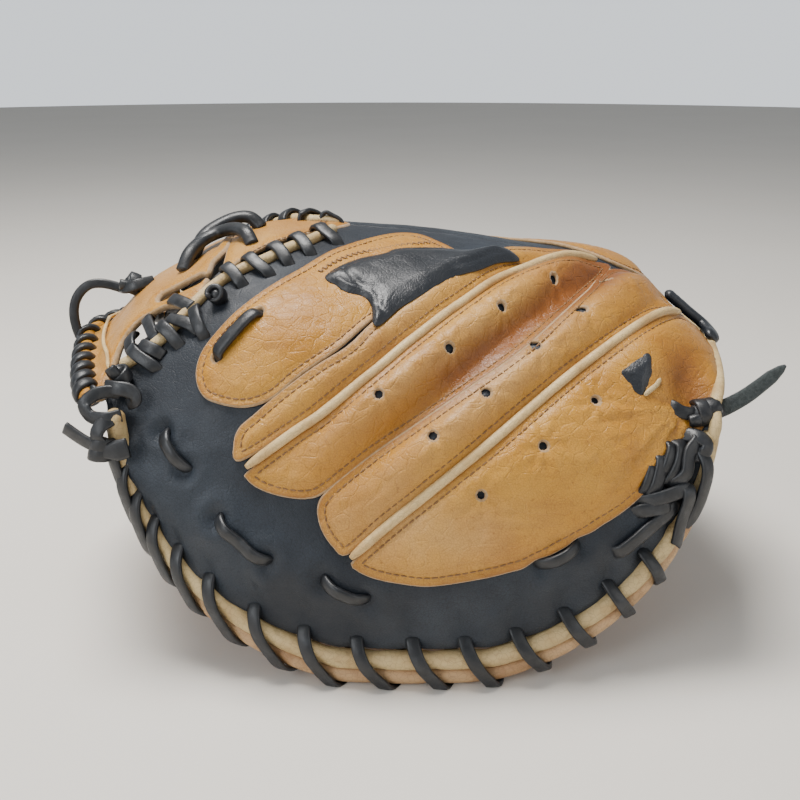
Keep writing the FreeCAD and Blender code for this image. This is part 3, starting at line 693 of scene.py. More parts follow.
def stitches(name, rows, material, pitch=3.1, length=2.5, radius=0.42, sides=6):
    """Every stitch of several seams; a row is (points on the leather, directions out of it)."""
    points, faces = [], []
    rings = [(share * length, size * radius) for share, size in STITCH_RINGS]
    turn = np.arange(sides) * 2 * math.pi / sides
    for path, ups in rows:
        walked = walk(path)
        for stop in np.arange(pitch / 2, walked[-1], pitch):
            spot, ahead, behind, up = (np.array([np.interp(value, walked, data[:, k]) for k in range(3)])
                                       for value, data in ((stop, path), (stop + 0.8, path),
                                                           (stop - 0.8, path), (stop, ups)))
            run = unit(ahead - behind)
            across = unit(np.cross(run, up))
            up = np.cross(across, run)
            start = len(points)
            for shift, size in rings:
                ring = (spot + run * shift + np.cos(turn)[:, None] * across * size
                        + np.sin(turn)[:, None] * up * size * 0.8)
                points.extend(ring)
            for k in range(len(rings) - 1):
                for j in range(sides):
                    n = (j + 1) % sides
                    low, high = start + k * sides, start + (k + 1) * sides
                    faces.append((low + j, low + n, high + n, high + j))
            faces += [tuple(start + j for j in range(sides))[::-1],
                      tuple(start + (len(rings) - 1) * sides + j for j in range(sides))]
    return add_mesh(name, np.array(points), faces, material)


def on_skin(side, line, lift):
    """A board line as points on the leather and the directions out of it."""
    along, rise = locate(side, line[:, 0], line[:, 1])
    return skin(side, along, rise, lift), dome_out(side, along, rise)


# ---------------------------------------------------------------- shells and hidden layers
EDGE_LINE = [(-118, 125), (-112, 127.5), (-106, 131), (-100, 136.5), (-91, 147), (-81, 160), (-70, 168.5),
             (-60, 174), (-51, 181), (-40, 189), (-31, 200)]
WEB_EDGE = [(-145, 117), (-125, 117), (-117, 122.5)] + [(a + 1.2, b - 1.6) for a, b in EDGE_LINE[1:]]


def web_limit(side, along):
    """Rise at which a back layer ends beside the web."""
    edge = resample(WEB_EDGE, 4)
    edge_along, edge_rise = locate(side, edge[:, 0], edge[:, 1])
    order = np.argsort(edge_along)
    return np.minimum(np.interp(along, edge_along[order], edge_rise[order], right=0.996), 0.996)


def wrist_end(rise):
    """Along at which the layers end at the wrist; near the rim they stop short of its corner."""
    return 0.93 + 0.055 * smooth(rise / 0.35)


def layer(name, side, along_range, rise_range, outer, inner, material, counts, past_web=None,
          shape=relief, **channels):
    """Closed layer of the dome between two depths, trimmed a little past the web's edge if asked."""
    place = np.linspace(0, 1, counts[0])[:, None] + np.zeros(counts[1])
    widest = along_range[0] + (along_range[1] - along_range[0]) * place
    share = np.linspace(0, 1, counts[1])[None]
    top_rise = rise_range[1] + 0 * widest
    if past_web is not None:
        top_rise = np.minimum(top_rise, web_limit(side, widest) + past_web)
    rise = rise_range[0] + (top_rise - rise_range[0]) * share
    start = np.maximum(along_range[0], 0.07 * (1 - smooth((rise - 0.04) / 0.2)))
    end = np.minimum(along_range[1], wrist_end(rise))
    along = start + (end - start) * place
    base, out = dome_point(side, along, rise), dome_out(side, along, rise)
    height = shape(side, along, rise)
    top = base + out * (height - outer(along, rise))[..., None]
    bottom = base + out * (height - inner(along, rise))[..., None]
    faces = grid_faces(*counts, is_flipped=side == THUMB)
    made = {key: function(side, along, rise).ravel() for key, function in channels.items()}
    return closed_sheet(name, top.reshape(-1, 3), bottom.reshape(-1, 3), faces, material, **made)


def constant(depth):
    return lambda along, rise: depth + 0 * rise


def ends_share(along):
    return smooth(along / 0.2) * smooth((1 - along) / 0.12)


def hand_gap(along, rise):
    return 0.6 + 17 * smooth((rise - 0.12) / 0.3) * (0.55 + 0.45 * smooth(along / 0.25))


def palm_lining_depth(along, rise):
    return LEATHER + PLAY + LINING + hand_gap(along, rise)


def pad_bottom(along, rise):
    upper = palm_lining_depth(along, rise) + LINING + PLAY
    thickness = 9 + 33 * smooth(rise / 0.45) * (0.45 + 0.55 * ends_share(along))
    spare = thickness - LEATHER - PLAY - upper - 3
    return upper + 3 + 0.5 * (spare + np.sqrt(spare ** 2 + 9))


def palm_shape(side, along, rise):
    """Creases of the pocket leather, which run down from the crest."""
    a, b = board(side, dome_point(side, along, rise))
    folds = noise(a / 30, b / 90, 11, 3)
    return 0.9 * folds * smooth(rise / 0.2) * smooth((1 - rise) / 0.1)


def no_shape(side, along, rise):
    return 0 * rise


def pocket_wear(side, along, rise):
    """Dark, polished middle of the pocket."""
    return 0.8 * np.exp(-((along - 0.48) / 0.2) ** 2 - ((rise - 0.62) / 0.3) ** 2)


for half, title in LABEL.items():
    settle(layer(f"{title}_shell", half, (0.0, WRIST_END), (0.024, 0.996), constant(0.0),
                 constant(LEATHER), BLACK, (190, 96), 0.0),
           bend_of(half), "black_leather", f"{title}_back_shell")
    settle(layer(f"{title}_lining_back", half, (0.02, WRIST_END - 0.004), (0.14, 0.99), constant(3.2),
                 constant(4.6), LINER, (110, 56), 0.13),
           bend_of(half), "lining", f"{title}_back_lining")
    settle(layer(f"{title}_lining_palm", half, (0.1, 0.92), (0.14, 0.99), palm_lining_depth,
                 lambda along, rise: palm_lining_depth(along, rise) + LINING, LINER, (80, 44),
                 shape=no_shape),
           bend_of(half), "lining", f"{title}_palm_lining")
    pad = layer(f"{title}_pad", half, (0.085, 0.915), (0.1, 0.99),
                lambda along, rise: palm_lining_depth(along, rise) + LINING + PLAY, pad_bottom, FELT,
                (80, 44), shape=no_shape)
    settle(pad, bend_of(half), "felt_padding", f"{title}_palm_pad")
    settle(layer(f"{title}_pocket_leather", half, (0.075, 0.93), (0.02, 0.994),
                 lambda along, rise: pad_bottom(along, rise) + PLAY + 0.3,
                 lambda along, rise: pad_bottom(along, rise) + PLAY + LEATHER, PALM, (130, 70),
                 shape=palm_shape, patina=pocket_wear, worn=no_shape),
           bend_of(half), "palm_leather", f"{title}_palm_shell")


# ---------------------------------------------------------------- sewn panels
INDEX_PANEL = [(2, 197), (-27, 181), (-43, 166), (-58, 152), (-71, 139), (-80, 128), (-83, 118),
               (-80, 109), (-73, 105), (-62, 103), (-51, 106), (-40, 114), (-24, 125), (-11, 139),
               (10, 158), (30, 173), (20, 188)]
UPPER_PIPING = [(-61, 79), (-42, 92), (-30, 100), (-11, 116), (5, 131), (25, 149), (47, 168),
                (74, 181), (92, 186)]
LOWER_PIPING = [(-19, 45), (-5, 56), (11, 68), (31, 84), (51, 101), (72, 119), (95, 137),
                (113, 150), (126, 156)]
VALLEY = [(-27, 71), (-10, 84), (9, 97), (29, 111), (49, 126), (66, 143), (82, 161), (99, 182)]


def shifted(line, step_a, step_b):
    return [(a + step_a, b + step_b) for a, b in line]


MIDDLE_PANEL = ([(-64, 82), (-66, 88), (-64, 94), (-58, 99), (-49, 106), (-34, 116), (-20, 125),
                 (-9, 138), (11, 160), (32, 176), (58, 190), (84, 194)]
                + shifted(UPPER_PIPING[::-1], -1.4, 1.4)[:-1])
RING_PANEL = (shifted(UPPER_PIPING, 1.4, -1.4) + shifted(VALLEY[::-1], -0.3, 0.3)[:-1]
              + [(-29, 70), (-37, 67), (-47, 68), (-56, 71), (-61, 75)])
LITTLE_PANEL = (shifted(VALLEY, 0.3, -0.3) + [(120, 176)] + shifted(LOWER_PIPING[::-1], -1.4, 1.4)
                + [(-26, 49), (-31, 56), (-32, 64)])
EDGE_PANEL = (shifted(LOWER_PIPING, 1.4, -1.4)
              + [(138, 150), (140, 128), (131, 106), (122, 93), (115, 86), (104, 76), (91, 65),
                 (78, 57), (61, 48), (45, 41), (28, 37), (12, 35), (0, 36), (-10, 38), (-17, 41)])
THUMB_PANEL = [(128, 150), (120, 118), (98, 98), (70, 84), (40, 78), (8, 80), (-20, 88), (-40, 102),
               (-46, 118), (-38, 134), (-18, 146), (10, 152), (40, 158), (75, 168), (105, 176)]
THUMB_PIPING = [(-34, 108), (-10, 108), (20, 110), (52, 117), (84, 130), (112, 148)]
THUMB_VENTS = [(10, 130), (45, 138), (20, 94), (58, 100)]
VENT_RADIUS = 2.5
SEAM_INSET = 2.6


def puckers(a, b, spots):
    """Fine folds that radiate from vent holes."""
    total = 0 * a
    for number, (spot_a, spot_b) in enumerate(spots):
        da, db = a - spot_a, b - spot_b
        reach, turn = np.hypot(da, db), np.arctan2(db, da)
        rays = np.cos((7 + number % 3) * turn + number + 0.15 * reach)
        total = total + 0.42 * rays * np.exp(-((reach - 6) / 5.5) ** 2)
        total = total - 0.8 * np.exp(-(reach / 4.5) ** 2)
    return total


def panel_creases(a, b, seed):
    """Soft folds of worn leather, sharper on one side."""
    folds = noise(a / 22 + 0.35 * noise(a / 15, b / 15, seed + 1), b / 9, seed, 3)
    return 0.55 * folds - 0.5 * np.clip(0.12 - np.abs(folds), 0, 1) / 0.12


def heel_folds(a, b):
    """Folds of the edge panel that fan out from the wrist lace."""
    reach, turn = np.hypot(a - 118, b - 104), np.arctan2(b - 104, a - 118)
    fan = noise(turn * 5.5, reach / 34, 27) * smooth(reach / 12) * smooth((62 - reach) / 34)
    return 2.0 * fan * smooth((112 - b + 0.1 * (a - 60)) / 14)


def panel_patina(side, a, b):
    """Reddish brown, partly real patina and partly painted shade: painted shade in the valley between the
    fingers, in the fold at the heel and in the troughs of the heel folds; a darker upper end of the valley;
    real patina blotches and random tone.
    """
    if side == THUMB:
        return 0.25 + 0.25 * noise(a / 30, b / 30, 21)
    place, across = valley_place(a, b)
    # Painted shade: darkening along the valley's hollow, in the heel fold and in the troughs of the heel
    # folds.
    valley = 1.1 * bump(across, 0, 8) * smooth((place - 0.1) / 0.4)
    top = 0.5 * smooth((place - 0.62) / 0.3) * bump(across, 4, 26)
    heel = 0.85 * np.exp(-((a - 120) / 13) ** 2 - ((b - 118) / 22) ** 2)
    folds = 0.4 * np.clip(heel_folds(a, b), -1, 0.2) * -1
    blotches = 0.3 * np.clip(noise(a / 20, b / 13, 26), 0, 1)
    return np.clip(valley + top + heel + folds + blotches + 0.14 * noise(a / 25, b / 25, 22), 0, 1)


def panel_wear_and_highlight(side, a, b):
    """Paler marks: a painted highlight along the finger ridges, a pale patch low on the edge panel and random
    variation; on the thumb, random pale wear.
    """
    if side == THUMB:
        return np.clip(0.2 + 0.3 * noise(a / 25, b / 25, 23), 0, 1)
    place, across = valley_place(a, b)
    # Painted highlight: paler along the tops of the finger ridges.
    ridges = (bump(across, 13, 6) + bump(across, -14, 6) + bump(across, 35, 6)) * bump(place, 0.45, 0.4)
    low = np.exp(-((a - 12) / 34) ** 2 - ((b - 54) / 13) ** 2)
    return np.clip((0.7 * ridges + 0.95 * low) * (0.75 + 0.5 * noise(a / 12, b / 12, 24)), 0, 1)


def panel(name, side, outline, holes, seed, nodes, slits=(), spacing=1.45):
    """Panel of leather sewn onto the back, with its seam, creases and punched holes."""
    loop = outline_loop(outline, spacing)
    loops = [loop] + [circle(hole, VENT_RADIUS)[::-1] for hole in holes] + [s[::-1] for s in slits]
    flat, faces = fill(loops, spacing)
    a, b = flat[:, 0], flat[:, 1]
    along, rise = locate(side, a, b)
    edge = distance(loop, flat)
    calm = smooth(edge / 6)
    top = (2.0 + 1.2 * smooth(edge / 8) - 0.8 * bump(edge, SEAM_INSET, 0.9)
           + calm * (panel_creases(a, b, seed) + puckers(a, b, holes)))
    if name == "edge_panel":
        top = top + 0.9 * calm * heel_folds(a, b)
    surface = skin(side, along, rise, top)
    under = skin(side, along, rise, 0.1)
    # The panel's edge is also darkened here, as painted shade where the panel meets the parts beside it.
    made = closed_sheet(name, surface, under, faces if side == FINGER else faces[:, ::-1], TAN, RAW,
                        patina=np.clip(panel_patina(side, a, b) + 0.5 * bump(edge, 0, 1.2), 0, 1),
                        worn=panel_wear_and_highlight(side, a, b))
    settle(made, bend_of(side), "tan_leather", *nodes)
    return loop


def inset(loop, amount):
    """The loop moved inward, without the stretches that would cross a corner; in runs."""
    moved = loop + loop_normals(loop) * amount
    keep = distance(loop, moved) > amount * 0.93
    start = int(np.argmin(keep))
    moved, keep = np.roll(moved, -start, 0), np.roll(keep, -start)
    runs, current = [], []
    for point, is_kept in zip(moved, keep):
        if is_kept:
            current.append(point)
        elif current:
            runs.append(np.array(current))
            current = []
    if current:
        runs.append(np.array(current))
    return [run for run in runs if len(run) > 4]


PANELS = [
    ("index_panel", FINGER, INDEX_PANEL, [], 31, ["index_finger_panel"]),
    ("middle_panel", FINGER, MIDDLE_PANEL, [], 32, ["middle_finger_panel"]),
    ("ring_panel", FINGER, RING_PANEL, VENT_HOLES[:4], 33, ["ring_finger_panel"]),
    ("little_panel", FINGER, LITTLE_PANEL, VENT_HOLES[4:9], 34, ["little_finger_panel"]),
    ("edge_panel", FINGER, EDGE_PANEL, VENT_HOLES[9:], 35, ["outer_edge_panel"]),
    ("thumb_stall_panel", THUMB, THUMB_PANEL, THUMB_VENTS, 36, ["thumb_panel"]),
]
stitch_rows = {FINGER: [], THUMB: []}
for name, side, outline, holes, seed, nodes in PANELS:
    slits = [circle(end, 2.6) for end in INDEX_BAR] if name == "index_panel" else []
    loop = panel(name, side, outline, holes, seed, nodes, slits)
    for run in inset(loop, SEAM_INSET):
        stitch_rows[side].append(on_skin(side, run, 1.75))
for side, rows in stitch_rows.items():
    settle(stitches(f"{LABEL[side]}_stitches", rows, THREAD), bend_of(side), "tan_leather")


# ---------------------------------------------------------------- piping
def piping(name, side, line, node, radius=2.1):
    path, ups = on_skin(side, resample(line, 1.5), 2.3)
    scale = 0.35 + 0.65 * np.minimum(rounded_ends(len(path), 0.05), 1)
    settle(sweep(name, path, ups, oval(2 * radius, 2 * radius, 12), PIPING, scale),
           bend_of(side), "piping", node)


piping("upper_seam_piping", FINGER, UPPER_PIPING, "upper_piping")
piping("lower_seam_piping", FINGER, LOWER_PIPING, "lower_piping")
piping("thumb_seam_piping", THUMB, THUMB_PIPING, "thumb_piping")


# ---------------------------------------------------------------- rims: bindings and lacing
FLOOR = 1.5          # model-frame height of the surface it stands on, with a hair of room


def rim_frame(side, along):
    """Point, direction along, direction up the leather and direction out, at a rim."""
    along = np.asarray(along, float)
    point = rim_point(side, along)
    run = unit(rim_point(side, along + 0.004) - rim_point(side, along - 0.004))
    slope = unit(dome_point(side, along, 0.06) - dome_point(side, along, 0.01))
    out = unit(dome_out(side, along, 0.05))
    return point, run, slope, out


def rest_on_floor(piece):
    """Press what would sink into the floor flat against it."""
    for vertex in piece.data.vertices:
        vertex.co.z = max(vertex.co.z, (FLOOR + SHIFT[2]) * 0.001)


def binding(name, side, radius, up_shift, inward, material, node, wide, stops):
    """Folded strip round a rim's edge, nipped where each lace crosses it."""
    steps = 340
    along = np.linspace(*stops, steps)
    point, _, slope, out = rim_frame(side, along)
    nip = 1 - 0.13 * sum(bump(along, stop + 0.02, 0.008) for stop in LACE_STOPS)
    path = point + slope * up_shift - out * inward
    made = sweep(name, path, out, oval(2 * radius * wide, 2 * radius, 16, 0.8), material,
                 nip * np.minimum(0.25 + rounded_ends(steps, 0.03), 1))
    rest_on_floor(made)
    settle(made, body_of(side), "binding_leather", node)


# loop of one lace turn round the bindings, as (out, up the leather) from the rim's point
TURN_LOOP = [(-1.8, 14.0), (0.9, 12.6), (2.9, 10.4), (4.5, 7.4), (5.2, 3.9), (4.6, 0.2), (3.6, -3.6),
             (2.0, -7.6), (-1.8, -10.4), (-5.6, -9.8), (-8.9, -6.0), (-10.4, 0.0), (-9.4, 7.0),
             (-6.0, 12.0)]


def turn_place(phase):
    """Place on a lace turn for a phase from 0 to 1, and the direction out of the turn."""
    loop = resample(TURN_LOOP, 0.5, closed=True)
    count = len(loop)
    place = np.mod(phase, 1.0) * count
    low = np.floor(place).astype(int) % count
    share = (place - np.floor(place))[:, None]
    spot = loop[low] * (1 - share) + loop[(low + 1) % count] * share
    normal = loop_normals(loop)
    if (normal * (loop - loop.mean(0))).sum() < 0:
        normal = -normal
    return spot, normal[low] * (1 - share) + normal[(low + 1) % count] * share


def rim_lace(name, side, stops, node):
    """One long lace that spirals through the holes of a rim."""
    steps = 44
    phase = np.arange((len(stops) - 1) * steps + 1) / steps
    whole, part = np.floor(phase), np.mod(phase, 1.0)
    eased = whole + 0.74 * smooth(part / 0.62) + 0.26 * smooth((part - 0.62) / 0.38)
    along = np.interp(eased, np.arange(len(stops)), stops)
    point, _, slope, out = rim_frame(side, along)
    spot, normal = turn_place(phase)
    path = point + out * spot[:, :1] + slope * spot[:, 1:]
    ups = out * normal[:, :1] + slope * normal[:, 1:]
    wobble = 1 + 0.07 * noise(phase * 2.3, phase * 0, 41)
    made = sweep(name, path, ups, LACE, LACE_BLACK, widths(wobble))
    rest_on_floor(made)
    settle(made, body_of(side), "lace_leather", node)


for side, label in LABEL.items():
    binding(f"{label}_upper_binding", side, 3.9, 3.9, 0.3, BINDING, f"{label}_back_binding", 1.0,
            (0.0, 0.965))
    binding(f"{label}_lower_binding", side, 4.2, -4.4, 2.6, PALM_BINDING, f"{label}_palm_binding",
            0.95, (0.05, 0.95))
    stops = LACE_STOPS if side == FINGER else LACE_STOPS + (0.866, 0.915)
    rim_lace(f"{label}_rim_lacing", side, stops, f"{label}_rim_lace")


# ---------------------------------------------------------------- laces through the leather
def lace_run(side, stops, spacing=0.8):
    """Path of a lace over the back through (a, b, lift) stops, and the directions out of it."""
    line = resample(stops, spacing)
    along, rise = locate(side, line[:, 0], line[:, 1])
    return skin(side, along, rise, line[:, 2]), dome_out(side, along, rise)


def bar_stops(low, high, top, sink=-3.0):
    """Stops of a lace that rises from one hole, lies on the leather and dives into the next."""
    low, high = np.array(low, float), np.array(high, float)
    run = unit(high - low)
    rising = [(-1.2, sink), (0.8, 0.45 * top), (3.2, top)]
    return ([(*(low + run * step), lift) for step, lift in rising]
            + [(*((low + high) / 2), top + 0.25)]
            + [(*(high - run * step), lift) for step, lift in rising[::-1]])


def free_run(points, ups, spacing=0.8):
    """Path of a lace through points in space, and its directions out, blended between stops."""
    line = resample(np.hstack([points, ups]), spacing)
    return line[:, :3], unit(line[:, 3:])


def laces(name, runs, zone, nodes, profile=LACE, material=LACE_BLACK):
    """Several tight laces as one piece."""
    made = []
    for number, (path, ups) in enumerate(runs):
        place = np.linspace(0, len(path) / 14, len(path))
        width = 1 + 0.08 * noise(place, 0 * place, 50 + number)
        made.append(sweep(f"{name}_{number}", path, ups, profile, material, widths(width)))
    return settle(join(made, name), zone, "lace_leather", *nodes)


def wrapped(centre, axis, turns, radius, pitch, steps=26):
    """A lace wound round an axis as a barrel, and the directions out of it."""
    axis = unit(np.array(axis, float))
    first = unit(np.cross(axis, (0.3, 0.2, 1.0)))
    second = np.cross(axis, first)
    turn = np.linspace(0, 2 * math.pi * turns, int(turns * steps))[:, None]
    out = np.cos(turn) * first + np.sin(turn) * second
    shift = (turn / (2 * math.pi) - turns / 2) * pitch
    tuck = np.minimum(1, 0.45 + rounded_ends(len(turn), 0.14)[:, None])
    return np.array(centre, float) + out * radius * tuck + axis * shift, out


def core(centre, axis, length, width):
    """The lace's own thickness inside a knot, as a short rounded bar."""
    axis = unit(np.array(axis, float))
    share = np.linspace(-0.5, 0.5, 11)[:, None]
    path = np.array(centre, float) + axis * share * length
    return path, np.broadcast_to(np.cross(axis, (0.1, 0.9, 0.3)), path.shape), width


def knot(name, centre, axis, turns, radius, pitch, zone, nodes, extras=(), width=5.6):
    """A knot of lace: turns round a core, with the lace ends that leave it."""
    path, ups = wrapped(centre, axis, turns, radius, pitch)
    made = [sweep(f"{name}_turns", path, ups, oval(width, 2.3, 12, 0.55), LACE_BLACK)]
    line, out, thick = core(centre, axis, turns * pitch + 1.5, 2 * radius - 1)
    made.append(sweep(f"{name}_core", line, out, oval(thick, thick, 14), LACE_BLACK,
                      rounded_ends(len(line), 0.3)))
    for number, (points, directions, scales) in enumerate(extras):
        path, ups = free_run(points, directions)
        share = np.linspace(0, 1, len(path))
        size = np.interp(share, np.linspace(0, 1, len(scales)), scales)
        made.append(sweep(f"{name}_end_{number}", path, ups, LACE, LACE_BLACK, widths(size)))
    return settle(join(made, name), zone, "lace_leather", *nodes)


laces("anchor_lacing", [lace_run(FINGER, bar_stops(low, high, 1.9)) for low, high in ANCHOR_BARS],
      "finger_side", ["anchor_laces"], oval(5.4, 2.8, 12, 0.75))
laces("index_lacing", [lace_run(FINGER, bar_stops(*INDEX_BAR, 4.7, -2.0))], "finger_side",
      ["index_lace"], oval(6.2, 2.9, 14, 0.8))
HEEL_RUNS = [
    [(87, 47, -2), (90, 49, 1.3), (101, 58, 1.8), (111, 66, 1.2), (113, 68, -1)],
    [(95, 62.5, -2), (98, 64, 1.3), (106, 66, 2.0), (109, 67, 0.5)],
    [(97, 67, -2), (100, 68, 2.2), (107, 70.5, 3.6), (114, 73, 3.4), (117, 73, 0)],
    [(110.5, 91, 0), (110, 88, 3.0), (108, 83, 3.6), (106.6, 79, 2.6), (106, 76.5, -1)],
    [(101.8, 83, 0), (101.4, 80, 2.6), (100, 76, 3.0), (98.9, 72, 1.8), (98.5, 70, -1)],
    [(121, 95, 1), (120, 91.5, 5), (115.5, 86.5, 5.2), (113.5, 79, 4.8), (110.5, 75, 2.0), (109, 74, -1)],
    [(114.5, 75, 1.0), (115, 72, 4.6), (114.6, 64, 4.8), (113.8, 56, 4.4), (113, 51, 4.0)],
    [(116.5, 94, 0), (119.5, 93, 5.6), (122.5, 90, 5.8), (121, 86.5, 5.0), (118, 86, 2)],
    [(121.5, 88, 3), (122, 81, 5.2), (121.5, 72, 5.6), (119.5, 64, 4.6), (117.5, 59, 2.5)],
    [(112.5, 92, 0), (113.5, 89, 3.6), (112, 83, 4.0), (110, 78.5, 3.4), (108, 74, 0.5)],
    [(104.5, 86, 0), (105, 83.5, 3.0), (103.5, 77.5, 3.4), (102, 72.5, 2.6), (101, 69, -0.5)],
]
laces("heel_lacing", [lace_run(FINGER, run) for run in HEEL_RUNS], "finger_side", ["heel_lace"],
      oval(6.3, 2.7, 14, 0.65))


# ---------------------------------------------------------------- hood over the index slot
HOOD = [(-31, 160), (-27, 156), (-22, 152), (-15, 150), (-11, 145), (-9, 134), (0, 143), (8, 149),
        (21, 159), (34, 166), (43, 172), (53, 177), (52, 179), (46, 182), (40, 183), (31, 181),
        (18, 182), (0, 180), (-7, 176), (-17, 172), (-25, 167)]


def padded_patch(name, side, outline, low, high, rounding, material, zone, slot_name, node,
                 detail=None, spacing=1.4):
    """Padded piece of leather sewn over the panels, with a rounded edge."""
    loop = outline_loop(outline, spacing)
    flat, faces = fill([loop], spacing)
    a, b = flat[:, 0], flat[:, 1]
    along, rise = locate(side, a, b)
    edge = distance(loop, flat)
    top = low + 0.9 + (high - low - 0.9) * smooth(edge / rounding) ** 0.6
    if detail:
        top = top + detail(a, b, edge)
    made = closed_sheet(name, skin(side, along, rise, top), skin(side, along, rise, low),
                        faces if side == FINGER else faces[:, ::-1], material)
    settle(made, zone, slot_name, node)


def hood_detail(a, b, edge):
    """Rolled lower edge, the crease of its fold and soft folds in the hood."""
    rolled = bump(edge, 1.8, 1.5) * smooth((-6 - a) / 5) * smooth((160 - b) / 4)
    crease = np.abs((a + 22) * 16 + (b - 162) * 12) / 20
    folds = noise(a / 15, b / 8, 61) * smooth(edge / 5)
    return (1.7 * rolled - 0.9 * bump(crease, 0, 1.3) * smooth(edge / 3) + 0.5 * folds
            - 0.7 * bump(edge, 3.6, 1.0) * smooth((b - 160) / 6))


padded_patch("index_hood", FINGER, HOOD, 2.4, 6.9, 9, HOOD_BLACK, "finger_bend", "black_leather",
             "finger_hood", hood_detail, 1.2)
ZIGZAG = resample([(-34, 163), (-27, 170), (-19, 175), (-9, 179), (2, 183), (14, 186)], 1.3)
zigzag_sides = np.where(np.arange(len(ZIGZAG)) % 2 == 0, 1.1, -1.1)[:, None]
zigzag_points, zigzag_ups = on_skin(FINGER, ZIGZAG + zigzag_sides * np.array([-0.55, 0.83]), 3.3)
zigzag_rows = [(zigzag_points[k:k + 2], zigzag_ups[k:k + 2]) for k in range(len(ZIGZAG) - 1)]
settle(stitches("hood_zigzag", zigzag_rows, THREAD, 2.5, 2.4, 0.4), "finger_bend", "tan_leather")


# ---------------------------------------------------------------- pull strap tab and wrist strap
TAB = [(90, 118), (92.5, 120.2), (97, 123.3), (101, 126), (102.4, 122), (102, 118), (100.3, 112.5),
       (98, 109), (95, 110.8), (91.5, 115.5)]
padded_patch("strap_end", FINGER, TAB, 2.2, 4.4, 4, HOOD_BLACK, "finger_side", "black_leather",
             "strap_tab", spacing=0.8)
TAB_EDGE = [(98.6, 108.4), (101, 110.6), (104, 113), (106, 116)]
tab_edge_path, tab_edge_ups = on_skin(FINGER, resample(TAB_EDGE, 0.8), 3.4)
settle(sweep("strap_slit_edge", tab_edge_path, tab_edge_ups, oval(2.2, 1.5), BINDING,
             rounded_ends(len(tab_edge_path), 0.2)), "finger_side", "binding_leather")
STRAP = [(125, 172), (129, 168.5), (133, 165.5), (138, 161.5), (142.5, 157), (144, 151), (141.5, 146.5)]
strap_path, strap_ups = on_skin(FINGER, resample(STRAP, 1.0), 3.6)
settle(sweep("wrist_strap_band", strap_path, strap_ups, oval(8.5, 5.0, 16, 0.85), HOOD_BLACK,
             rounded_ends(len(strap_path), 0.08)), "finger_side", "black_leather", "wrist_strap")

for side, label in LABEL.items():
    rise = np.linspace(0.05, 0.985, 170)
    along = wrist_end(rise) + 0.012
    path = skin(side, along, rise, 0.4)
    made = sweep(f"{label}_wrist_edge", path, dome_out(side, along, rise), oval(4.6, 5.6, 14), BINDING,
                 np.minimum(1, 0.4 + rounded_ends(len(rise), 0.03)))
    settle(made, bend_of(side), "piping", f"{label}_wrist_binding")


# ---------------------------------------------------------------- knots and free lace ends
def cord_path(points):
    """Points along the same smooth route as the CAD's cord, in metres."""
    curve = bpy.data.curves.new("route", "CURVE")
    curve.dimensions, curve.resolution_u = "3D", 24
    spline = curve.splines.new("NURBS")
    spline.points.add(len(points) - 1)
    for point, spot in zip(spline.points, to_row_frame(points)):
        point.co = (*spot, 1.0)
    spline.order_u = 3
    spline.use_endpoint_u = True
    route = bpy.data.objects.new("route", curve)
    mesh = bpy.data.meshes.new_from_object(route)
    path = [tuple(vertex.co) for vertex in mesh.vertices]
    bpy.data.objects.remove(route)
    bpy.data.meshes.remove(mesh)
    bpy.data.curves.remove(curve)
    return path


def free_lace(name, points, ups, width, thickness, tip, material, zone, node):
    """Free end of a lace swept along its smooth route."""
    path = cord_path(points)
    line = np.array(path) * 1000 - SHIFT
    walked = walk(line)
    share = walked / walked[-1]
    made = sweep(name, line, ups, oval(width, thickness, 14, 0.6), material,
                 np.stack([np.interp(share, *tip), np.interp(share, [0, 0.93, 1], [1, 1, 0.6])], -1))
    settle(made, zone, "lace_leather", node)


free_lace("wrist_tail", [(133, -76, 110), (142, -75, 114), (151, -74, 121), (160, -73, 129)],
          (0.1, -0.95, 0.25), 7.0, 2.5,
          ([0, 0.1, 0.5, 0.78, 0.93, 1], [1, 1.04, 0.95, 0.85, 0.5, 0.16]),
          SUEDE, "finger_side", "wrist_lace_tail")
free_lace("web_loop", [(-133, 3, 143), (-145, 2, 148), (-155, 0, 142), (-158, -2, 130), (-155, -3, 121)],
          (0.1, -0.9, 0.3), 4.6, 3.2, ([0, 1], [1, 1]), LACE_BLACK, "web", "web_lace_loop")
knot("wrist_knot", (126, -78, 110), (1, 0.05, 0.12), 2.0, 4.9, 4.6, "finger_side", ["wrist_lace_knot"],
     [([(111, -75, 113), (113, -79, 113), (117, -80.5, 111), (123, -80, 110), (128, -79, 110)],
       [(0, -1, 0.3)] * 5, [0.9, 1, 1, 0.9]),
      ([(127, -77, 109), (131, -77, 109.6), (135, -76, 111)], [(0.1, -0.95, 0.25)] * 3, [1.3, 1.35, 1.2])])
knot("web_knot", (-128, 2, 146), (0.8, 0.1, -0.35), 1.6, 4.2, 4.4, "web", ["web_loop_knot"],
     [([(-134, 2, 143.5), (-130, -3, 145), (-124, -4, 147), (-118, 1, 148)], [(0, -1, 0.5)] * 4,
       [0.8, 1, 1, 0.8])])
knot("stop_knot", on_skin(FINGER, np.array([(-76.0, 152.0)]), 4.0)[0][0], (-0.3, -0.8, 0.6), 1.2, 3.0, 3.0,
     "finger_bend", ["web_stop_knot"])
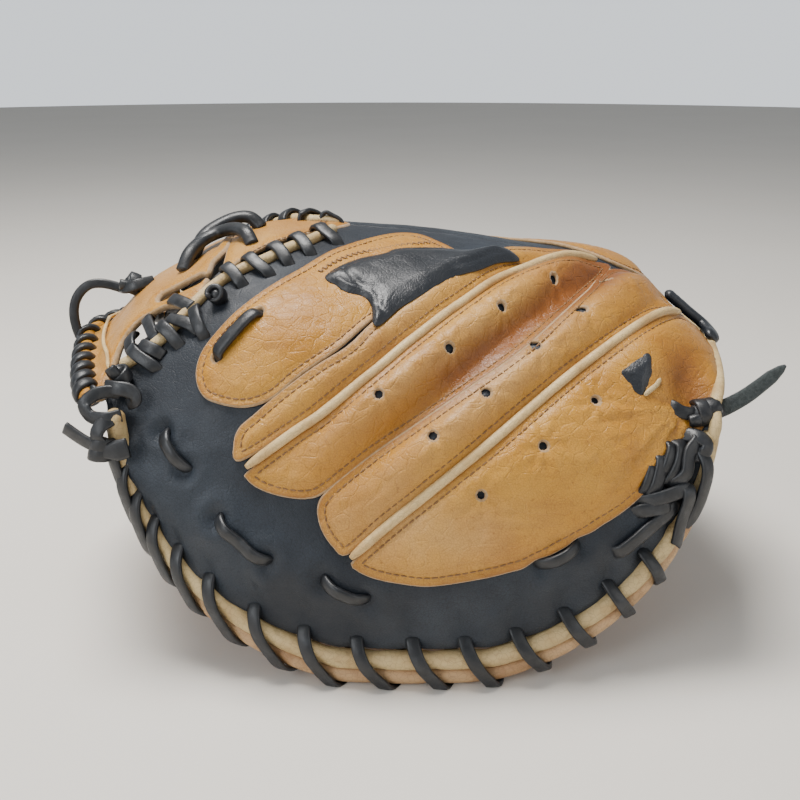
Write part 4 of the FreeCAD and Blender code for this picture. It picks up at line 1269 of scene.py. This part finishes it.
knot("upper_corner_knot", (-117, -71, 124), (-0.45, -0.1, 1), 1.5, 3.6, 4.8, "finger_side",
     ["corner_knot_upper"],
     [([(-116, -78, 119), (-121, -79, 119.5), (-126, -80, 118.5), (-130, -82, 115), (-127, -84, 110.5),
        (-120, -86.5, 110.5), (-114.5, -84, 111)], [(-0.3, -1, 0.1)] * 7, [1.0, 1.0, 1.0, 1.05, 1.0]),
      ([(-122, -76, 121), (-117, -79, 121), (-112.5, -79.5, 120.5), (-109.5, -80, 118.5),
        (-109.5, -80.5, 116), (-112.5, -79, 114)], [(-0.2, -1, 0.3)] * 6, [1, 1.1, 1.15, 1.1, 0.9])])
knot("lower_corner_knot", (-123, -86, 97.5), (0.25, 0.1, 1), 1.7, 4.3, 4.4, "finger_side",
     ["corner_knot_lower"],
     [([(-123, -88, 98), (-130, -87, 101), (-138, -85, 106)], [(-0.3, -1, -0.3)] * 3, [1.05, 1.15, 1.15]),
      ([(-124, -89, 97), (-117, -91, 98), (-111, -91, 99.5)], [(0, -1, 0.2)] * 3, [0.9, 1.1, 1.6, 1.5]),
      ([(-118, -86, 110), (-122, -88, 108), (-124, -89, 104), (-122, -89, 100)], [(-0.5, -1, 0.1)] * 4,
       [1, 1.1, 1.1, 1])])


# ---------------------------------------------------------------- web
WEB_SCALE = np.array([240, 130])        # millimetres for one unit of along and of rise


def over_both(half, *middle):
    """A line of (along, rise) over the finger half, its middle, and its mirror over the thumb half."""
    return [*half, *middle, *((along, 2 - rise) for along, rise in half[::-1])]


def over_crest(along, rise, lift):
    """Point of the web, for rise from 0 at the finger rim over 1 at the crest to 2 at the thumb rim."""
    along, rise, lift = np.broadcast_arrays(*(np.asarray(value, float) for value in (along, rise, lift)))
    inner, is_finger = np.maximum(along, 0), (rise <= 1)[..., None]
    share = np.minimum(rise, 2 - rise)
    base = np.where(is_finger, dome_point(FINGER, inner, share), dome_point(THUMB, inner, share))
    out = np.where(is_finger, dome_out(FINGER, inner, share), dome_out(THUMB, inner, share))
    beyond = np.stack([WEB_SCALE[0] * np.minimum(along, 0), 0 * along, 0 * along], -1)
    return base + out * lift[..., None] + beyond, out


def web_sheet(name, half_edge, slot_line, material, top, thickness, node, detail, spacing=1.5):
    """Sheet of the web that is drawn on the finger half and mirrored over the crest."""
    loops = [outline_loop(np.array(over_both(half_edge)) * WEB_SCALE, spacing)]
    if slot_line:
        for sign, turn in ((1, 0), (-1, 2)):
            ends = [np.array((along, turn + sign * rise)) * WEB_SCALE for along, rise in slot_line]
            loops.append(slit(*ends, SLOT_WIDTH)[::-1])
    flat, faces = fill(loops, spacing)
    along, rise = (flat / WEB_SCALE).T
    edge = np.minimum.reduce([distance(line, flat) for line in loops])
    lift = top + detail(along, rise, edge)
    upper, _ = over_crest(along, rise, lift)
    lower, _ = over_crest(along, rise, lift - thickness)
    made = closed_sheet(name, upper, lower, faces, material, RAW,
                        patina=np.clip(0.12 + 0.3 * noise(along * 9, rise * 5, 71), 0, 1),
                        worn=np.clip(0.3 + 0.4 * noise(along * 12, rise * 7, 72) - bump(edge, 0, 2), 0, 1))
    settle(made, "web", "tan_leather", node)


WEB_BAR = [(-0.028, 0.34), (0.03, 0.42), (0.05, 0.47), (0.072, 0.526), (0.090, 0.602), (0.105, 0.647),
           (0.142, 0.693), (0.171, 0.702), (0.198, 0.708), (0.223, 0.689), (0.244, 0.679), (0.256, 0.706),
           (0.262, 0.733), (0.263, 0.791), (0.265, 0.839), (0.274, 0.870), (0.281, 0.900), (0.284, 0.95)]
WEB_SLOT = [(0.190, 0.760), (0.248, 0.774)]
SLOT_WIDTH = 8.0
WEB_WELT = [(0.066, 0.50), (0.056, 0.60), (0.034, 0.72), (0.022, 0.86)]
CROTCH_SEAM = [(0.300, 0.80), (0.322, 0.838), (0.356, 0.882), (0.385, 0.915)]
CROTCH = [(0.289, 0.75), (0.300, 0.79), (0.322, 0.828), (0.356, 0.872), (0.40, 0.92), (0.45, 0.985)]


def bar_detail(along, rise, edge):
    """Curled edge, wrinkles beside the rolled rim and soft waves of the web bar."""
    near_roll = bump(along, 0.02, 0.05)
    wrinkles = noise(along * 8, rise * 26, 73) * near_roll
    return 0.9 * bump(edge, 2.0, 1.8) - 0.5 * bump(edge, 4.5, 1.4) + 0.8 * wrinkles + 0.6 * noise(
        along * 10, rise * 6, 74) + 0.8 * bump(along, 0.135, 0.05)


def crotch_detail(along, rise, edge):
    return 0.5 * smooth(edge / 4) + 0.6 * noise(along * 22, rise * 14, 75)


web_sheet("web_bar", WEB_BAR, WEB_SLOT, TAN, 1.2, 3.2, "web_panel", bar_detail)
web_sheet("crotch_leather", CROTCH, None, TAN, 1.0, 2.6, "crotch_panel", crotch_detail)
crotch_rows = []
for inset_rise in (0.055, 0.075):
    line = resample(np.array(over_both(CROTCH_SEAM, (0.40, 1.0))) + np.array([inset_rise * 0.35, 0]), 0.005)
    crotch_rows.append(over_crest(line[:, 0], line[:, 1], 1.9))
settle(stitches("crotch_stitches", crotch_rows, THREAD, 2.8, 2.2, 0.38), "web", "tan_leather")
welt = resample(over_both(WEB_WELT, (0.022, 1.0)), 0.004)
welt_path, welt_ups = over_crest(welt[:, 0], welt[:, 1], 2.3)
settle(sweep("web_welt", welt_path, welt_ups, oval(1.9, 1.7, 10), PIPING,
             rounded_ends(len(welt_path), 0.03)), "web", "piping")

ROLL_STEPS = 260
roll_rise = np.linspace(0.3, 1.7, ROLL_STEPS)
roll_path, roll_out = over_crest(0 * roll_rise, roll_rise, 0.0)
roll_path = roll_path + np.array([-7.0, 0, -1.6])
roll_swell = ((1 + 0.06 * noise(roll_rise * 9, 0 * roll_rise, 76))
              * np.minimum(1, 0.45 + rounded_ends(ROLL_STEPS, 0.04)))
settle(sweep("web_roll", roll_path, roll_out, oval(7.4, 6.8, 16), TAN, roll_swell), "web", "tan_leather",
       "web_rim_binding")
COIL_TURNS = 15
place = np.linspace(0.012, 0.988, COIL_TURNS * 30)
centre, out = (np.stack([np.interp(place, np.linspace(0, 1, ROLL_STEPS), data[:, k]) for k in range(3)], -1)
               for data in (roll_path, roll_out))
out = unit(out)
across = unit(np.cross(np.gradient(centre, axis=0), out))
phase = 2 * math.pi * COIL_TURNS * place
phase = phase + 0.35 * np.sin(phase)
around = np.cos(phase)[:, None] * out + np.sin(phase)[:, None] * across
laces("web_rim_lacing", [(centre + around * 4.5, around)], "web", ["web_rim_lace"],
      oval(5.2, 2.8, 12, 0.7))
ARCH_A = [(-100, -15, 156), (-97.5, -9, 163), (-93, 2, 167), (-86, 6, 170), (-78, 1, 172.5), (-71, -9, 172.5),
          (-67.5, -14, 168)]
ARCH_B = [(-98, -4, 159), (-93.5, 6, 168), (-87, 11, 172.5), (-79, 14, 175.5), (-72, 14, 175.5),
          (-66.5, 12, 171)]
laces("arch_lacing", [free_run(ARCH_A, [(-0.2, -0.5, 1)] * 7), free_run(ARCH_B, [(-0.2, -0.3, 1)] * 6)],
      "web", ["web_rim_lace"], oval(6.6, 5.4, 14, 0.85))


# ---------------------------------------------------------------- edges beside the web
WRAPS = [(-110, 128.7), (-98, 138.6), (-73, 166.5), (-64, 171.8), (-54, 178.8), (-45, 185.4), (-36, 194.0)]
for side, label in LABEL.items():
    path, ups = on_skin(side, resample(EDGE_LINE, 1.0), 1.2)
    settle(sweep(f"{label}_web_edge", path, ups, oval(5.6, 5.0, 14), BINDING,
                 np.minimum(1, 0.45 + rounded_ends(len(path), 0.03))),
           bend_of(side), "binding_leather", f"{label}_web_binding")
    runs = []
    for number, (a, b) in enumerate(WRAPS):
        lean = 1.5 * math.cos(number * 2.1)
        runs.append(lace_run(side, [(a + 6.5 + lean, b - 7.5, -2.5), (a + 5.5 + lean, b - 6, 1.6),
                                    (a + 2.6, b - 2.6, 4.2), (a, b, 5.2), (a - 2.6, b + 2.6, 3.6),
                                    (a - 4.2, b + 4.0, 0.5), (a - 3.0, b + 2.8, -2.6)]))
    laces(f"{label}_web_lacing", runs, bend_of(side), [f"{label}_web_lace"])


def gap_run(stops):
    """A lace that crosses the gap beside the web bar, through (along, rise, lift) stops."""
    scale = np.array([*WEB_SCALE, 1])
    return over_crest(*(resample(np.array(stops, float) * scale, 0.8) / scale).T)


GAP_LACES = [
    [(0.203, 0.735, -3), (0.212, 0.715, 2.2), (0.230, 0.685, 3.4), (0.253, 0.650, 3.0)],
    [(0.205, 0.645, -1), (0.215, 0.630, 2.6), (0.236, 0.610, 3.4), (0.258, 0.588, 3.0), (0.266, 0.575, 1)],
    [(0.256, 0.648, 2), (0.260, 0.633, 4.2), (0.266, 0.600, 4.4), (0.272, 0.567, 2.5), (0.274, 0.555, -1)],
    [(0.158, 0.690, -2), (0.163, 0.677, 1.8), (0.178, 0.628, 3.0), (0.191, 0.581, 2.8), (0.196, 0.560, 0)],
    [(0.160, 0.568, 0), (0.168, 0.556, 3.4), (0.183, 0.541, 4.6), (0.198, 0.527, 3.6), (0.204, 0.520, 0)],
    [(0.120, 0.655, -2), (0.126, 0.630, 1.2), (0.132, 0.590, 2.4), (0.137, 0.555, 2.0), (0.140, 0.54, 0)],
]
for side, label in LABEL.items():
    runs = []
    for stops in GAP_LACES:
        placed = stops if side == FINGER else [(along, 2 - rise, lift) for along, rise, lift in stops]
        runs.append(gap_run(placed))
    laces(f"{label}_gap_lacing", runs, f"{label}_gap", [f"{label}_web_lace"])


# ---------------------------------------------------------------- stage
def add_floor():
    bpy.ops.mesh.primitive_circle_add(vertices=96, radius=4.0, fill_type="NGON", location=(0, 0, 0))
    floor = bpy.context.object
    floor.name = "floor"
    finish = Finish("pale_floor", 0.75)
    finish.colour(finish.mix(finish.remap(finish.noise(3), 0.3, 0.7), (0.74, 0.70, 0.64), (0.76, 0.72, 0.66)))
    floor.data.materials.append(finish.material)


def add_light(name, location, target, width, power, colour):
    data = bpy.data.lights.new(name, "AREA")
    data.size, data.energy, data.color = width, power, colour
    lamp = bpy.data.objects.new(name, data)
    lamp.location = location
    lamp.rotation_euler = (Vector(target) - Vector(location)).to_track_quat("-Z", "Y").to_euler()
    bpy.context.scene.collection.objects.link(lamp)


add_floor()
add_light("ceiling_light", (-0.3, 0.1, 1.25), (0, 0, 0.1), 0.55, 27, (1.0, 0.975, 0.94))
add_light("window_light", (-1.0, -1.0, 0.8), (0, 0, 0.08), 0.7, 9, (0.94, 0.97, 1.0))
add_light("fill_light", (1.1, -0.8, 0.6), (0, 0, 0.08), 0.9, 4, (1.0, 0.97, 0.93))
world = bpy.data.worlds.new("room")
world.use_nodes = True
tree = world.node_tree
direction = tree.nodes.new("ShaderNodeSeparateXYZ")
tree.links.new(tree.nodes.new("ShaderNodeTexCoord").outputs["Generated"], direction.inputs["Vector"])
height = tree.nodes.new("ShaderNodeMapRange")
tree.links.new(direction.outputs["Z"], height.inputs["Value"])
for socket, number in (("From Min", 0.03), ("From Max", 0.16), ("To Min", 1.15), ("To Max", 0.36)):
    height.inputs[socket].default_value = number
tree.links.new(height.outputs["Result"], tree.nodes["Background"].inputs["Strength"])
tree.nodes["Background"].inputs["Color"].default_value = (0.90, 0.95, 1.0, 1)
bpy.context.scene.world = world

camera_data = bpy.data.cameras.new("camera")
camera_data.lens, camera_data.sensor_width = 44.55, 36
camera = bpy.data.objects.new("camera", camera_data)
camera.location = (0.0018, -0.460, 0.2547)
camera.rotation_euler = (math.radians(90 - 20), 0, 0)
bpy.context.scene.collection.objects.link(camera)
bpy.context.scene.camera = camera
